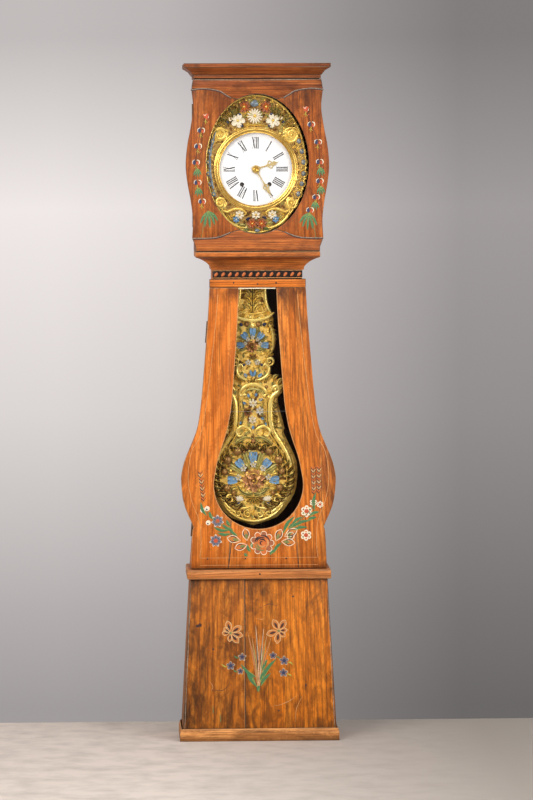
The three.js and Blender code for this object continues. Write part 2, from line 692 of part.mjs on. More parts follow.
// Hands: pierced brass, at rest at twenty-five past two
const minuteArborRadius = 3;
const hourPipeRadius = 5.5;
const handThickness = 1.2;
const handsAbove = 3;
const handsApart = 2.2;
const handBoss = 12;
const colletHeight = 2;
const arborEnd = 2;
const hourHandY = enamelFrontY - handsAbove;
const minuteHandY = hourHandY - handThickness - handsApart;
const hourHandLength = 80;
const minuteHandLength = 114;
const hourHandTurn = THREE.MathUtils.degToRad(72.5);
const minuteHandTurn = THREE.MathUtils.degToRad(150);
const pipeShort = 1.2;
const bridgeY = -34;
const bridgeThickness = 4;
const motionWheelY = -46;
const hourHandShares = [
  [0.035, 0.2], [0.026, 0.4], [0.05, 0.5], [0.155, 0.58], [0.16, 0.66], [0.06, 0.74], [0.1, 0.8], [0.03, 0.87], [0, 1],
];
const hourEyeShares = [[-0.08, 0.62, 0.045, 0.055], [0.08, 0.62, 0.045, 0.055]];
const minuteHandShares = [
  [0.02, 0.16], [0.014, 0.4], [0.03, 0.5], [0.085, 0.55], [0.09, 0.61], [0.035, 0.68], [0.05, 0.73], [0.014, 0.79], [0, 1],
];
const minuteEyeShares = [[-0.045, 0.58, 0.026, 0.036], [0.045, 0.58, 0.026, 0.036]];

// A hand from its tip to its boss, pierced by small ovals given as shares of its length
function handShape(length, shares, eyeShares) {
  const right = smooth([...shares].reverse().map(([w, l]) => [w * length, l * length]), 18);
  right.push(new THREE.Vector2(handBoss, handBoss / 2));
  right.push(new THREE.Vector2(handBoss, -handBoss / 2));
  right.push(new THREE.Vector2(handBoss / 2, -handBoss));
  const shape = mirrored(right);
  for (const [across, along, halfWidth, halfLength] of eyeShares) {
    const eye = oval(halfWidth * length, halfLength * length, across * length, along * length, 8);
    shape.holes.push(new THREE.Path(eye.getPoints()));
  }
  return shape;
}

function buildHands() {
  const turned = (shape, turn, y) =>
    plate(shape, y, handThickness).rotate([0, THREE.MathUtils.radToDeg(turn), 0]).translate([axisX, 0, dialCentreZ]);
  const pipe = cut(
    join(
      turned(handShape(hourHandLength, hourHandShares, hourEyeShares), hourHandTurn, hourHandY),
      barY(axisX, dialCentreZ, hourPipeRadius, hourHandY, motionWheelY - pipeShort),
    ),
    barY(axisX, dialCentreZ, minuteArborRadius + bearingGap, hourHandY - overrun, motionWheelY),
  );
  piece("hour_hand", pipe, brass);
  const colletY = minuteHandY - colletHeight;
  const collet = barY(axisX, dialCentreZ, handBoss, colletY, minuteHandY + fit, 16);
  const arborBack = bridgeY + bridgeThickness + arborEnd;
  const arbor = barY(axisX, dialCentreZ, minuteArborRadius, colletY - arborEnd, arborBack, 8);
  const motionWheel = gear(motionGear.hands, motionWheelY, wheelThickness);
  piece("minute_hand", join(
    turned(handShape(minuteHandLength, minuteHandShares, minuteEyeShares), minuteHandTurn, minuteHandY),
    collet, arbor, motionWheel,
  ), brass);
}

// Gear wheels. Each arbor stands where its wheel meets the pinion before it.
const wheelThickness = 3;
const arborRadius = 3;
const drumArborRadius = 5;
const greatModule = cageHeight * 7 / 750;
const motionTeeth = 18;
const motionModule = cageHeight * 0.008;
const mainTeeth = 36;
const mainPinionTeeth = 6;
const thirdModule = cageHeight * 4 / 750;
const centreTeeth = 48;
const thirdTeeth = 45;
const finePinionTeeth = 6;
const escapeTeeth = 30;
const escapeRadius = cageHeight * 0.112;
const anchorAboveEscape = cageHeight * 0.16;
const tipShare = 0.55;
const rootShare = 0.95;
const rimShare = 2.4;
const hubShare = 2.6;

const pitchRadius = (teeth, module) => (teeth * module) / 2;

// Where an arbor stands that is distance r1 from a and r2 from b, on the right of a to b
function meetingPoint(a, r1, b, r2, side) {
  const [dx, dz] = [b[0] - a[0], b[1] - a[1]];
  const span = Math.hypot(dx, dz);
  const along = (r1 * r1 - r2 * r2 + span * span) / (2 * span);
  const off = side * Math.sqrt(r1 * r1 - along * along);
  return [a[0] + (dx * along + dz * off) / span, a[1] + (dz * along - dx * off) / span];
}

const handsArbor = [axisX, dialCentreZ];
const goingArbor = [axisX + windingOffsetX, dialCentreZ - windingDrop];
const mainReach = pitchRadius(mainTeeth + mainPinionTeeth, greatModule);
const centreFromDrum = cageHeight * 0.252;
const centreArbor = meetingPoint(goingArbor, centreFromDrum, handsArbor, pitchRadius(2 * motionTeeth, motionModule), 1);
const intermediateArbor = meetingPoint(goingArbor, mainReach, centreArbor, mainReach, 1);
const anchorArbor = [pendulumX, pendulumPivotZ];
const escapeArbor = [pendulumX, pendulumPivotZ - anchorAboveEscape];
const fineReach = pitchRadius(thirdTeeth + finePinionTeeth, thirdModule);
const centreToThird = pitchRadius(centreTeeth + finePinionTeeth, thirdModule);
const thirdArbor = meetingPoint(centreArbor, centreToThird, escapeArbor, fineReach, 1);
const mirror = ([x, z]) => [2 * axisX - x, z];
const strikeArbor = mirror(goingArbor);
const pinWheelArbor = mirror(intermediateArbor);
const flyArbor = meetingPoint(strikeArbor, centreFromDrum, pinWheelArbor, mainReach, 1);

// The turn that lets the second wheel's teeth fall between the first one's
function meshTurn(first, centre, teeth) {
  const line = Math.atan2(centre[1] - first.centre[1], centre[0] - first.centre[0]);
  const into = ((line - first.turn) * first.teeth) / (2 * Math.PI);
  return line + Math.PI - ((0.5 - into) * 2 * Math.PI) / teeth;
}

const toothed = (centre, teeth, module, turn = 0) => ({ centre, teeth, module, turn });
const drivenBy = (first, centre, teeth, module) => toothed(centre, teeth, module, meshTurn(first, centre, teeth));

const motionGear = { train: toothed(centreArbor, motionTeeth, motionModule) };
motionGear.hands = drivenBy(motionGear.train, handsArbor, motionTeeth, motionModule);
const greatGear = toothed(goingArbor, mainTeeth, greatModule);
const intermediatePinion = drivenBy(greatGear, intermediateArbor, mainPinionTeeth, greatModule);
const intermediateGear = toothed(intermediateArbor, mainTeeth, greatModule);
const centrePinion = drivenBy(intermediateGear, centreArbor, mainPinionTeeth, greatModule);
const centreGear = toothed(centreArbor, centreTeeth, thirdModule);
const thirdPinion = drivenBy(centreGear, thirdArbor, finePinionTeeth, thirdModule);
const thirdGear = toothed(thirdArbor, thirdTeeth, thirdModule);
const escapePinion = drivenBy(thirdGear, escapeArbor, finePinionTeeth, thirdModule);
const strikeGear = toothed(strikeArbor, mainTeeth, greatModule);
const pinWheelPinion = drivenBy(strikeGear, pinWheelArbor, mainPinionTeeth, greatModule);
const pinWheelGear = toothed(pinWheelArbor, mainTeeth, greatModule);
const flyPinion = drivenBy(pinWheelGear, flyArbor, mainPinionTeeth, greatModule);

// A wheel or pinion with straight-flanked teeth; a large wheel is crossed out to four spokes
function gear({ centre, teeth, module, turn }, frontY, thickness) {
  const pitch = pitchRadius(teeth, module);
  const tip = pitch + tipShare * module;
  const root = pitch - rootShare * module;
  const step = (2 * Math.PI) / teeth;
  const points = [];
  for (let i = 0; i < teeth; i++) {
    for (const [radius, share] of [[root, -0.5], [tip, -0.05], [tip, 0.05]]) {
      const angle = turn + (i + share) * step;
      points.push(new THREE.Vector2(centre[0] + radius * Math.cos(angle), centre[1] + radius * Math.sin(angle)));
    }
  }
  const shape = new THREE.Shape(points);
  const rim = root - rimShare * module;
  const hub = arborRadius * hubShare;
  if (rim > 2 * hub) shape.holes.push(...spokeGaps(centre, hub, rim));
  return plate(shape, frontY, thickness);
}

function spokeGaps(centre, hub, rim) {
  const spokes = 4;
  const spokeTurn = 0.28;
  const innerShare = 1.6;
  const gaps = [];
  for (let i = 0; i < spokes; i++) {
    const from = (2 * Math.PI * i) / spokes + spokeTurn / 2;
    const to = (2 * Math.PI * (i + 1)) / spokes - spokeTurn / 2;
    const points = [];
    for (const share of [0, 0.5, 1]) {
      const angle = from + (to - from) * share;
      points.push(new THREE.Vector2(centre[0] + rim * Math.cos(angle), centre[1] + rim * Math.sin(angle)));
    }
    const middle = (from + to) / 2;
    const inner = innerShare * hub;
    points.push(new THREE.Vector2(centre[0] + inner * Math.cos(middle), centre[1] + inner * Math.sin(middle)));
    gaps.push(new THREE.Path(points));
  }
  return gaps;
}

const cageBackY = cageDepth;
const strapThickness = 5;
const arborShort = 1;
const arborBackY = cageBackY - arborShort;
const intermediatePlaneY = 13;
const greatPlaneY = 27;
const drumFrontY = greatPlaneY + wheelThickness + fit;
const flangeThickness = 2;
const drumBackY = 100;
const centrePlaneY = 50;
const thirdPlaneY = 66;
const escapePlaneY = 84;
const pinionSpare = 1.5;
const drumRadius = cageHeight * 0.096;
const flangeRadius = cageHeight * 0.112;
const lineRadius = 1.5;
const lineReach = drumRadius + fit + lineRadius;
const lineY = (drumFrontY + drumBackY) / 2;
const lineX = (sign) => axisX + sign * windingOffsetX - lineReach;

const pinionAt = (wheel, planeY) => gear(wheel, planeY - pinionSpare, wheelThickness + 2 * pinionSpare);
const fineArborRadius = 2.4;
const arborAt = ([x, z], radius, fromY = arborShort) => barY(x, z, radius, fromY, arborBackY, 8);

// The great wheel turns freely on the drum's arbor, and a click joins them as the weight falls
function buildDrum(name, wheel) {
  const [x, z] = wheel.centre;
  const flange = (y) => barY(x, z, flangeRadius, y, y + flangeThickness, 16);
  piece(name + "_drum", join(
    barY(x, z, drumRadius, drumFrontY, drumBackY, 16),
    flange(drumFrontY), flange(drumBackY),
    arborAt(wheel.centre, drumArborRadius, -fit),
    barY(x, z, drumArborRadius, enamelFrontY + fit, 0, 4),
  ), brass);
  const bore = barY(x, z, (drumArborRadius + bearingGap) * circumscribed, 0, drumFrontY, boreSides);
  piece(name + "_great_wheel", cut(gear(wheel, greatPlaneY, wheelThickness), bore), brass);
}

function buildGoingTrain() {
  buildDrum("going", greatGear);
  piece("intermediate_wheel", join(
    pinionAt(intermediatePinion, greatPlaneY), gear(intermediateGear, intermediatePlaneY, wheelThickness),
    arborAt(intermediateArbor, arborRadius),
  ), brass);
  piece("centre_wheel", join(
    pinionAt(centrePinion, intermediatePlaneY), gear(centreGear, centrePlaneY, wheelThickness),
    gear(motionGear.train, motionWheelY, wheelThickness), arborAt(centreArbor, arborRadius, motionWheelY - arborEnd),
  ), brass);
  piece("third_wheel", join(
    pinionAt(thirdPinion, centrePlaneY), gear(thirdGear, thirdPlaneY, wheelThickness),
    arborAt(thirdArbor, fineArborRadius),
  ), brass);
  piece("escape_wheel", join(
    pinionAt(escapePinion, thirdPlaneY), escapeGear(), arborAt(escapeArbor, fineArborRadius),
  ), brass);
  piece("anchor", buildAnchor(), iron);
}

// Thirty pointed teeth that lean back, for the recoil anchor
const escapeRootShare = 0.85;
const escapeLeanShare = 0.35;
const escapeRimShare = 0.72;
const escapeHubShare = 1.8;

function escapeGear() {
  const step = (2 * Math.PI) / escapeTeeth;
  const points = [];
  const at = (radius, angle) => {
    points.push(new THREE.Vector2(
      escapeArbor[0] + radius * Math.cos(angle), escapeArbor[1] + radius * Math.sin(angle),
    ));
  };
  for (let i = 0; i < escapeTeeth; i++) {
    at(escapeRadius * escapeRootShare, (i - escapeLeanShare) * step);
    at(escapeRadius, i * step);
  }
  const shape = new THREE.Shape(points);
  const rim = escapeRadius * escapeRimShare;
  shape.holes.push(...spokeGaps(escapeArbor, arborRadius * escapeHubShare, rim));
  return plate(shape, escapePlaneY, wheelThickness);
}

// Anchor with its arbor and the crutch whose fork holds the pendulum rod
const rodHalfWidth = 5;
const rodThickness = 4;
const crutchY = -9;
const crutchThickness = 3;
const crutchDrop = 55;
const prongFront = 1;
const anchorArborRadius = 2.5;
const palletGap = 1.2;
const palletWidth = 4;
const palletRootShares = [0.55, 0.6];
const anchorCrown = 6;
const anchorShoulder = [7, 4];
const anchorArmpit = 5;
const anchorUnder = 7;

function buildAnchor() {
  const [x, z] = anchorArbor;
  const reach = Math.SQRT1_2 * (escapeRadius + palletGap);
  const dropToTip = anchorAboveEscape - reach;
  const [outerRoot, innerRoot] = palletRootShares.map((share) => z - dropToTip * share);
  const [shoulderX, shoulderZ] = anchorShoulder;
  const right = [
    [x, z + anchorCrown], [x + shoulderX, z + shoulderZ], [x + reach + palletWidth, outerRoot],
    [x + reach + palletWidth, z - dropToTip], [x + reach, z - dropToTip],
    [x + reach - palletWidth, innerRoot], [x + anchorArmpit, z - anchorCrown], [x, z - anchorUnder],
  ];
  const left = right.slice(1, -1).map(([px, pz]) => [2 * x - px, pz]).reverse();
  const body = plate(new THREE.Shape([...right, ...left].map((p) => new THREE.Vector2(...p))), escapePlaneY, wheelThickness);
  const crutchBack = crutchY + crutchThickness;
  const forkZ = z - crutchDrop;
  const forkInner = rodHalfWidth + fit;
  const forkOuter = forkInner + crutchThickness;
  const prongY = rodY - prongFront;
  const prong = (a, b) => block(x + a, x + b, prongY, crutchBack, forkZ, forkZ + 2 * crutchThickness);
  return join(
    body,
    barY(x, z, anchorArborRadius, crutchY, arborBackY, 8),
    block(x - crutchThickness, x + crutchThickness, crutchY, crutchBack, forkZ, z),
    block(x - forkOuter, x + forkOuter, crutchY, crutchBack, forkZ, forkZ + 2 * crutchThickness),
    prong(-forkOuter, -forkInner),
    prong(forkInner, forkOuter),
  );
}

// Striking train, hammer and bell
const bellRadius = 55;
const bellHeight = 52;
const bellWall = 4;
const bellRise = 19.4;
const bellRimZ = cageTopZ + bellRise;
const bellWallShares = [[1, 0], [0.93, 0.25], [0.8, 0.6], [0.45, 0.92]];
const bellY = cageDepth / 2;
const bellPostRadius = 4;
const bellSeatRadius = 8;
const bellNut = 8;
const bellPostEnd = 5;
const hammerPivotX = axisX - cageHeight * 0.4;
const hammerRise = 8;
const hammerPivotZ = cageTopZ + hammerRise;
const hammerArborRadius = 2.5;
const hammerHeadRadius = 7;
const hammerHeadGap = 4.2;
const hammerHeadHalf = 8.4;
const hammerHeadRise = 4;
const hammerStemRadius = 2;
const lugHalf = 6;
const lugThickness = 4;
const lugSpan = [22, 18];
const hammerLugs = [bellY - lugSpan[0], bellY + lugSpan[1]];

function buildStrikingTrain() {
  buildDrum("strike", strikeGear);
  const pinCount = 8;
  const pinInset = 4.9;
  const pinCircle = pitchRadius(mainTeeth, greatModule) - pinInset;
  const pinRadius = 1.5;
  const pins = [];
  for (let i = 0; i < pinCount; i++) {
    const turn = (2 * Math.PI * (i + 0.5)) / pinCount;
    const [x, z] = [pinWheelArbor[0] + pinCircle * Math.cos(turn), pinWheelArbor[1] + pinCircle * Math.sin(turn)];
    pins.push(barY(x, z, pinRadius, intermediatePlaneY + fit, intermediatePlaneY + wheelThickness + overrun, 5));
  }
  piece("strike_pin_wheel", join(
    pinionAt(pinWheelPinion, greatPlaneY), gear(pinWheelGear, intermediatePlaneY, wheelThickness),
    arborAt(pinWheelArbor, arborRadius), ...pins,
  ), brass);
  const [fx, fz] = flyArbor;
  const vane = cageHeight * 0.08;
  const vaneHalf = 0.6;
  const vaneFront = centrePlaneY + overrun;
  piece("strike_fly", join(
    pinionAt(flyPinion, intermediatePlaneY), arborAt(flyArbor, fineArborRadius),
    block(fx - vane, fx + vane, vaneFront, vaneFront + 2 * vane, fz - vaneHalf, fz + vaneHalf),
  ), brass);

  const wall = (radius, height) => bellWallShares.map(([out, up]) => [radius * out, height * up]);
  const outer = wall(bellRadius, bellHeight);
  const inner = wall(bellRadius - bellWall, bellHeight - bellWall).reverse();
  const bore = bellPostRadius + fit;
  const seat = bellSeatRadius + fit;
  const ceiling = bellHeight - bellWall;
  const profile = [...outer, [seat, bellHeight], [bore, bellHeight], [bore, ceiling], [seat, ceiling], ...inner, outer[0]];
  const bowl = new THREE.LatheGeometry(profile.map((p) => new THREE.Vector2(...p)), 16);
  piece("bell", solid(bowl.rotateX(Math.PI / 2).translate(axisX, bellY, bellRimZ)), bellMetal);

  const headX = axisX - bellRadius - hammerHeadGap - hammerHeadRadius;
  const headZ = bellRimZ + hammerHeadRise;
  const head = new THREE.CylinderGeometry(hammerHeadRadius, hammerHeadRadius, 2 * hammerHeadHalf, 12);
  const stemLength = Math.hypot(headX - hammerPivotX, headZ - hammerPivotZ);
  const stem = new THREE.CylinderGeometry(hammerStemRadius, hammerStemRadius, stemLength, 8);
  const lean = Math.atan2(headX - hammerPivotX, headZ - hammerPivotZ);
  stem.rotateX(Math.PI / 2).rotateY(lean).translate((headX + hammerPivotX) / 2, bellY, (headZ + hammerPivotZ) / 2);
  piece("hammer", join(
    barY(hammerPivotX, hammerPivotZ, hammerArborRadius, ...hammerLugs, 8),
    barY(hammerPivotX, hammerPivotZ, 2 * hammerArborRadius, bellY - overrun, bellY + overrun, 8),
    solid(stem), solid(head.rotateZ(Math.PI / 2).translate(headX, bellY, headZ)),
  ), iron);
}

// Cage: top and bottom plates on corner pillars, upright straps for the arbors, the
// suspension cock, the bridge for the hands, the bell post, the hammer's lugs and dial feet
const plateThickness = 5;
const pillarInset = 7;
const pillarRadius = 5;
const strapEdge = 8;
const cockHalf = 8;
const cockThickness = 4;
const pinShort = 1.5;
const bridgePostX = cageHeight * 0.16;
const postRadius = 4;
const bridgeHalfHeight = 6;
const footShare = 0.18;
const headShare = 0.12;
const boreSides = 8;
const circumscribed = 1 / Math.cos(Math.PI / boreSides);

function buildCage() {
  const left = axisX - cageHalf;
  const right = axisX + cageHalf;
  const parts = [
    block(left, right, 0, cageDepth, cageBottomZ, cageBottomZ + plateThickness),
    block(left, right, 0, cageDepth, cageTopZ - plateThickness, cageTopZ),
  ];
  const outerX = cageHalf - pillarInset;
  for (const x of [axisX - outerX, axisX + outerX]) {
    for (const y of [pillarInset, cageDepth - pillarInset]) {
      parts.push(barZ(x, y, pillarRadius, cageBottomZ, cageTopZ, 8));
    }
  }
  const straps = [
    [anchorArbor], [goingArbor, centreArbor, thirdArbor], [strikeArbor, flyArbor], [intermediateArbor], [pinWheelArbor],
  ];
  for (const arbors of straps) {
    const across = arbors.map(([x]) => x);
    const [from, to] = [Math.min(...across) - strapEdge, Math.max(...across) + strapEdge];
    parts.push(block(from, to, 0, strapThickness, cageBottomZ, cageTopZ));
    parts.push(block(from, to, cageDepth - strapThickness, cageDepth, cageBottomZ, cageTopZ));
  }
  const cockFrontY = rodY - cockHalf;
  const cockX = [pendulumX - cockHalf, pendulumX + cockHalf];
  parts.push(block(...cockX, cockFrontY, strapThickness, cageTopZ - cockHalf, cageTopZ));
  parts.push(block(...cockX, cockFrontY, cockFrontY + cockThickness, pendulumPivotZ - cockHalf, cageTopZ));
  parts.push(barY(pendulumX, pendulumPivotZ, suspensionPinRadius, cockFrontY, crutchY - pinShort));
  parts.push(block(
    axisX - bridgePostX - postRadius, axisX + bridgePostX + postRadius, bridgeY, bridgeY + bridgeThickness,
    dialCentreZ - bridgeHalfHeight, dialCentreZ + bridgeHalfHeight,
  ));
  const feet = [cageBottomZ + cageHeight * footShare, cageTopZ - cageHeight * headShare];
  for (const sign of [-1, 1]) {
    parts.push(barY(axisX + sign * bridgePostX, dialCentreZ, postRadius, bridgeY, strapThickness, 8));
    for (const z of feet) parts.push(barY(axisX + sign * outerX, z, postRadius, surroundBackY + fit, pillarInset, 8));
  }
  const bellTopZ = bellRimZ + bellHeight;
  parts.push(barZ(axisX, bellY, bellPostRadius, cageTopZ - plateThickness, bellTopZ + bellPostEnd, 10));
  parts.push(barZ(axisX, bellY, bellSeatRadius, bellTopZ + fit, bellTopZ + bellNut, 6));
  parts.push(barZ(axisX, bellY, bellSeatRadius, cageTopZ - plateThickness, bellTopZ - bellWall - fit, 8));
  for (const y of hammerLugs) {
    parts.push(block(
      hammerPivotX - lugHalf, hammerPivotX + lugHalf, y - lugThickness / 2, y + lugThickness / 2,
      cageTopZ - plateThickness, hammerPivotZ + lugHalf,
    ));
  }
  const boreAt = (x, z, radius, y0, y1) => barY(x, z, (radius + bearingGap) * circumscribed, y0, y1, boreSides);
  const bore = ([x, z], radius) => boreAt(x, z, radius, -overrun, cageDepth + overrun);
  const lineHole = (sign) =>
    barZ(lineX(sign), lineY, lineHoleRadius, cageBottomZ - overrun, cageBottomZ + 2 * plateThickness, 8);
  const bearings = [
    lineHole(-1), lineHole(1),
    bore(goingArbor, drumArborRadius), bore(strikeArbor, drumArborRadius),
    bore(intermediateArbor, arborRadius), bore(centreArbor, arborRadius), bore(thirdArbor, fineArborRadius),
    bore(escapeArbor, fineArborRadius), bore(pinWheelArbor, arborRadius), bore(flyArbor, fineArborRadius),
    bore(anchorArbor, anchorArborRadius),
    boreAt(axisX, dialCentreZ, minuteArborRadius, bridgeY - overrun, bridgeY + 2 * bridgeThickness),
    bore([hammerPivotX, hammerPivotZ], hammerArborRadius),
  ];
  piece("movement_cage", cut(join(...parts), ...bearings), iron);
}

const suspensionPinRadius = 2;
const lineHoleRadius = 6;
const seatBehindRod = 8;

// Seat board on the cheeks, with a hole for each line
function buildSeat() {
  const bottom = cheekTop + fit;
  const front = rodY + rodThickness + seatBehindRod;
  let seat = block(-neckHalf, neckHalf, front, boardBackY - sideBoard, bottom, bottom + seatThickness);
  for (const sign of [-1, 1]) {
    seat = cut(seat, barZ(lineX(sign), lineY, lineHoleRadius, bottom - overrun, bottom + seatThickness + overrun, 10));
  }
  piece("seat_board", seat, darkWood);
}

// Weights and lines, run down: each line hangs plumb from the left side of its drum
const weightEdge = 6;
const weightNeckRadius = 4;
const weightNeck = 26;
const eyeRadius = 9;
const eyeThickness = 5;

function buildWeights() {
  for (const [name, sign] of [["going", 1], ["strike", -1]]) {
    const x = lineX(sign);
    const bottom = weightTop - weightHeight;
    const eyeZ = weightTop + weightNeck;
    const profile = [
      [0, bottom], [weightRadius - weightEdge, bottom], [weightRadius, bottom + weightEdge],
      [weightRadius, weightTop - weightEdge], [weightRadius - weightEdge, weightTop],
      [weightNeckRadius, weightTop + weightEdge], [weightNeckRadius, eyeZ], [0, eyeZ],
    ].map((p) => new THREE.Vector2(...p));
    const turned = solid(new THREE.LatheGeometry(profile, 14).rotateX(Math.PI / 2).translate(x, lineY, 0));
    const eye = barY(x, eyeZ + eyeRadius / 2, eyeRadius, lineY - eyeThickness / 2, lineY + eyeThickness / 2, 12);
    const hole = barY(x, eyeZ + eyeRadius / 2, eyeRadius / 2, lineY - eyeThickness, lineY + eyeThickness, 10);
    piece(name + "_weight", cut(join(turned, eye), hole), castIron);
    const top = dialCentreZ - windingDrop;
    piece(name + "_line", barZ(x, lineY, lineRadius, eyeZ + 1.5 * eyeRadius + fit, top, 8), gutLine);
  }
}

// Pendulum: a flat rod with an eye on the suspension pin, and the pressed brass front
const faceThickness = 5;
const faceCrown = 6;
const faceCrownShare = 0.94;
const faceCentreShare = 0.2;
const rodEndShare = 0.05;
const rodEyeRadius = 8;
const faceShares = [
  [0.14, 1], [0.2, 0.985], [0.3, 0.857], [0.36, 0.79], [0.479, 0.743], [0.395, 0.722],
  [0.497, 0.67], [0.385, 0.6], [0.335, 0.545], [0.6, 0.525], [0.696, 0.498], [0.573, 0.475], [0.58, 0.434],
  [0.713, 0.354], [0.7, 0.333], [0.962, 0.243], [1, 0.2], [0.993, 0.161], [0.923, 0.11], [0.62, 0.042],
  [0.39, 0.02], [0, 0],
];

function buildPendulum() {
  const height = pendulumTop - pendulumBottom;
  const right = smooth(faceShares.map(([w, h]) => [w * pendulumHalf, pendulumBottom + h * height]), 48);
  right[right.length - 1].x = 0;
  const backFace = rodY - fit;
  const edgeFace = backFace - faceThickness;
  const centre = [pendulumX, pendulumBottom + height * faceCentreShare];
  const points = mirrored(right, pendulumX).getPoints().slice(0, -1);
  const face = crownedPlate(points, centre, [backFace, edgeFace, edgeFace - faceCrown], faceCrownShare);
  piece("pendulum_face", face, gilt);

  const rodBottom = pendulumBottom + height * rodEndShare;
  const rodBackY = rodY + rodThickness;
  const rod = cut(
    join(
      block(pendulumX - rodHalfWidth, pendulumX + rodHalfWidth, rodY, rodBackY, rodBottom, pendulumPivotZ),
      barY(pendulumX, pendulumPivotZ, rodEyeRadius, rodY, rodBackY, 16),
    ),
    barY(pendulumX, pendulumPivotZ, suspensionPinRadius + bearingGap, rodY - overrun, rodBackY + overrun, 12),
  );
  piece("pendulum_rod", rod, iron);
}

buildPlinth();
buildWaist();
buildTrunk();
buildFrieze();
buildHood();
buildTrunkDoor();
buildHoodDoor();
buildHinges();
buildDial();
buildHands();
buildCage();
buildGoingTrain();
buildStrikingTrain();
buildSeat();
buildWeights();
buildPendulum();

export default clock;
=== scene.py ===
import json
import math
import random
import bmesh
import bpy
import numpy as np
from mathutils import Matrix, Vector


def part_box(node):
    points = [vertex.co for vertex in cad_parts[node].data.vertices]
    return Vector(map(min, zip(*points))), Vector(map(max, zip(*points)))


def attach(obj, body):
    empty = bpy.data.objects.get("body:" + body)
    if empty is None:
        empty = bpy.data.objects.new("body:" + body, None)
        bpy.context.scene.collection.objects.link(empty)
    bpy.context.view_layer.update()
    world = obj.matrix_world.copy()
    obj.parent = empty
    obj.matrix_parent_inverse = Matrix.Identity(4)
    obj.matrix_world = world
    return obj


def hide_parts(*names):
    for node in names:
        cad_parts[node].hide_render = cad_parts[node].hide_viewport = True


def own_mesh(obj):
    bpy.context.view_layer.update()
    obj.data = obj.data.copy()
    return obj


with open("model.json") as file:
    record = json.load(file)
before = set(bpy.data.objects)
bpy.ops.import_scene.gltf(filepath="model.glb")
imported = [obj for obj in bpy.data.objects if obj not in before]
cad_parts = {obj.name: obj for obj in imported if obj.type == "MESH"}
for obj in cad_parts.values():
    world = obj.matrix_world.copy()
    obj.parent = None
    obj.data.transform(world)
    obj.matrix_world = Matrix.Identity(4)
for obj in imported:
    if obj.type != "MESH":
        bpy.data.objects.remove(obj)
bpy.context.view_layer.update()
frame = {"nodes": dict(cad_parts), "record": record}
cadNodes = frame["nodes"]
bodyOf = {node: body for body, members in frame["record"]["behaviour"]["bodies"].items() for node in members}
slotOf = {part["node"]: part["material_slot"] for part in frame["record"]["subparts"]}
mm = 0.001
print("frame loaded:", len(cadNodes), "nodes")


# small tools

def selectOnly(obj):
    bpy.ops.object.select_all(action="DESELECT")
    obj.select_set(True)
    bpy.context.view_layer.objects.active = obj


def giveMaterials(obj, materials):
    obj.data.materials.clear()
    for material in materials:
        obj.data.materials.append(material)


def closeSkin(obj, merge=0.0, flatten=0.0):
    # merges doubled points, dissolves edges flatter than some degrees, and turns all faces outwards
    selectOnly(obj)
    bpy.ops.object.mode_set(mode="EDIT")
    bpy.ops.mesh.select_all(action="SELECT")
    if merge:
        bpy.ops.mesh.remove_doubles(threshold=merge)
    if flatten:
        bpy.ops.mesh.dissolve_limited(angle_limit=math.radians(flatten))
        bpy.ops.mesh.select_all(action="SELECT")
    bpy.ops.mesh.normals_make_consistent(inside=False)
    bpy.ops.object.mode_set(mode="OBJECT")


def finishPiece(obj, body, smooth):
    bpy.ops.object.shade_smooth_by_angle(angle=math.radians(smooth))
    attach(obj, body)
    return obj


def camel(node):
    first, *rest = node.split("_")
    return first + "".join(word.capitalize() for word in rest)


def copyOfNode(node, materials):
    obj = cadNodes[node].copy()
    obj.data = cadNodes[node].data.copy()
    obj.name = camel(node)
    for key in list(obj.keys()):
        del obj[key]
    obj.parent = None
    bpy.context.scene.collection.objects.link(obj)
    giveMaterials(obj, materials)
    return obj


def rgb(code):
    # a six-figure screen colour as the linear colour that a socket takes
    channels = [int(code[i:i + 2], 16) / 255 for i in (0, 2, 4)]
    return tuple(c / 12.92 if c < 0.04045 else ((c + 0.055) / 1.055) ** 2.4 for c in channels) + (1.0,)


# materials

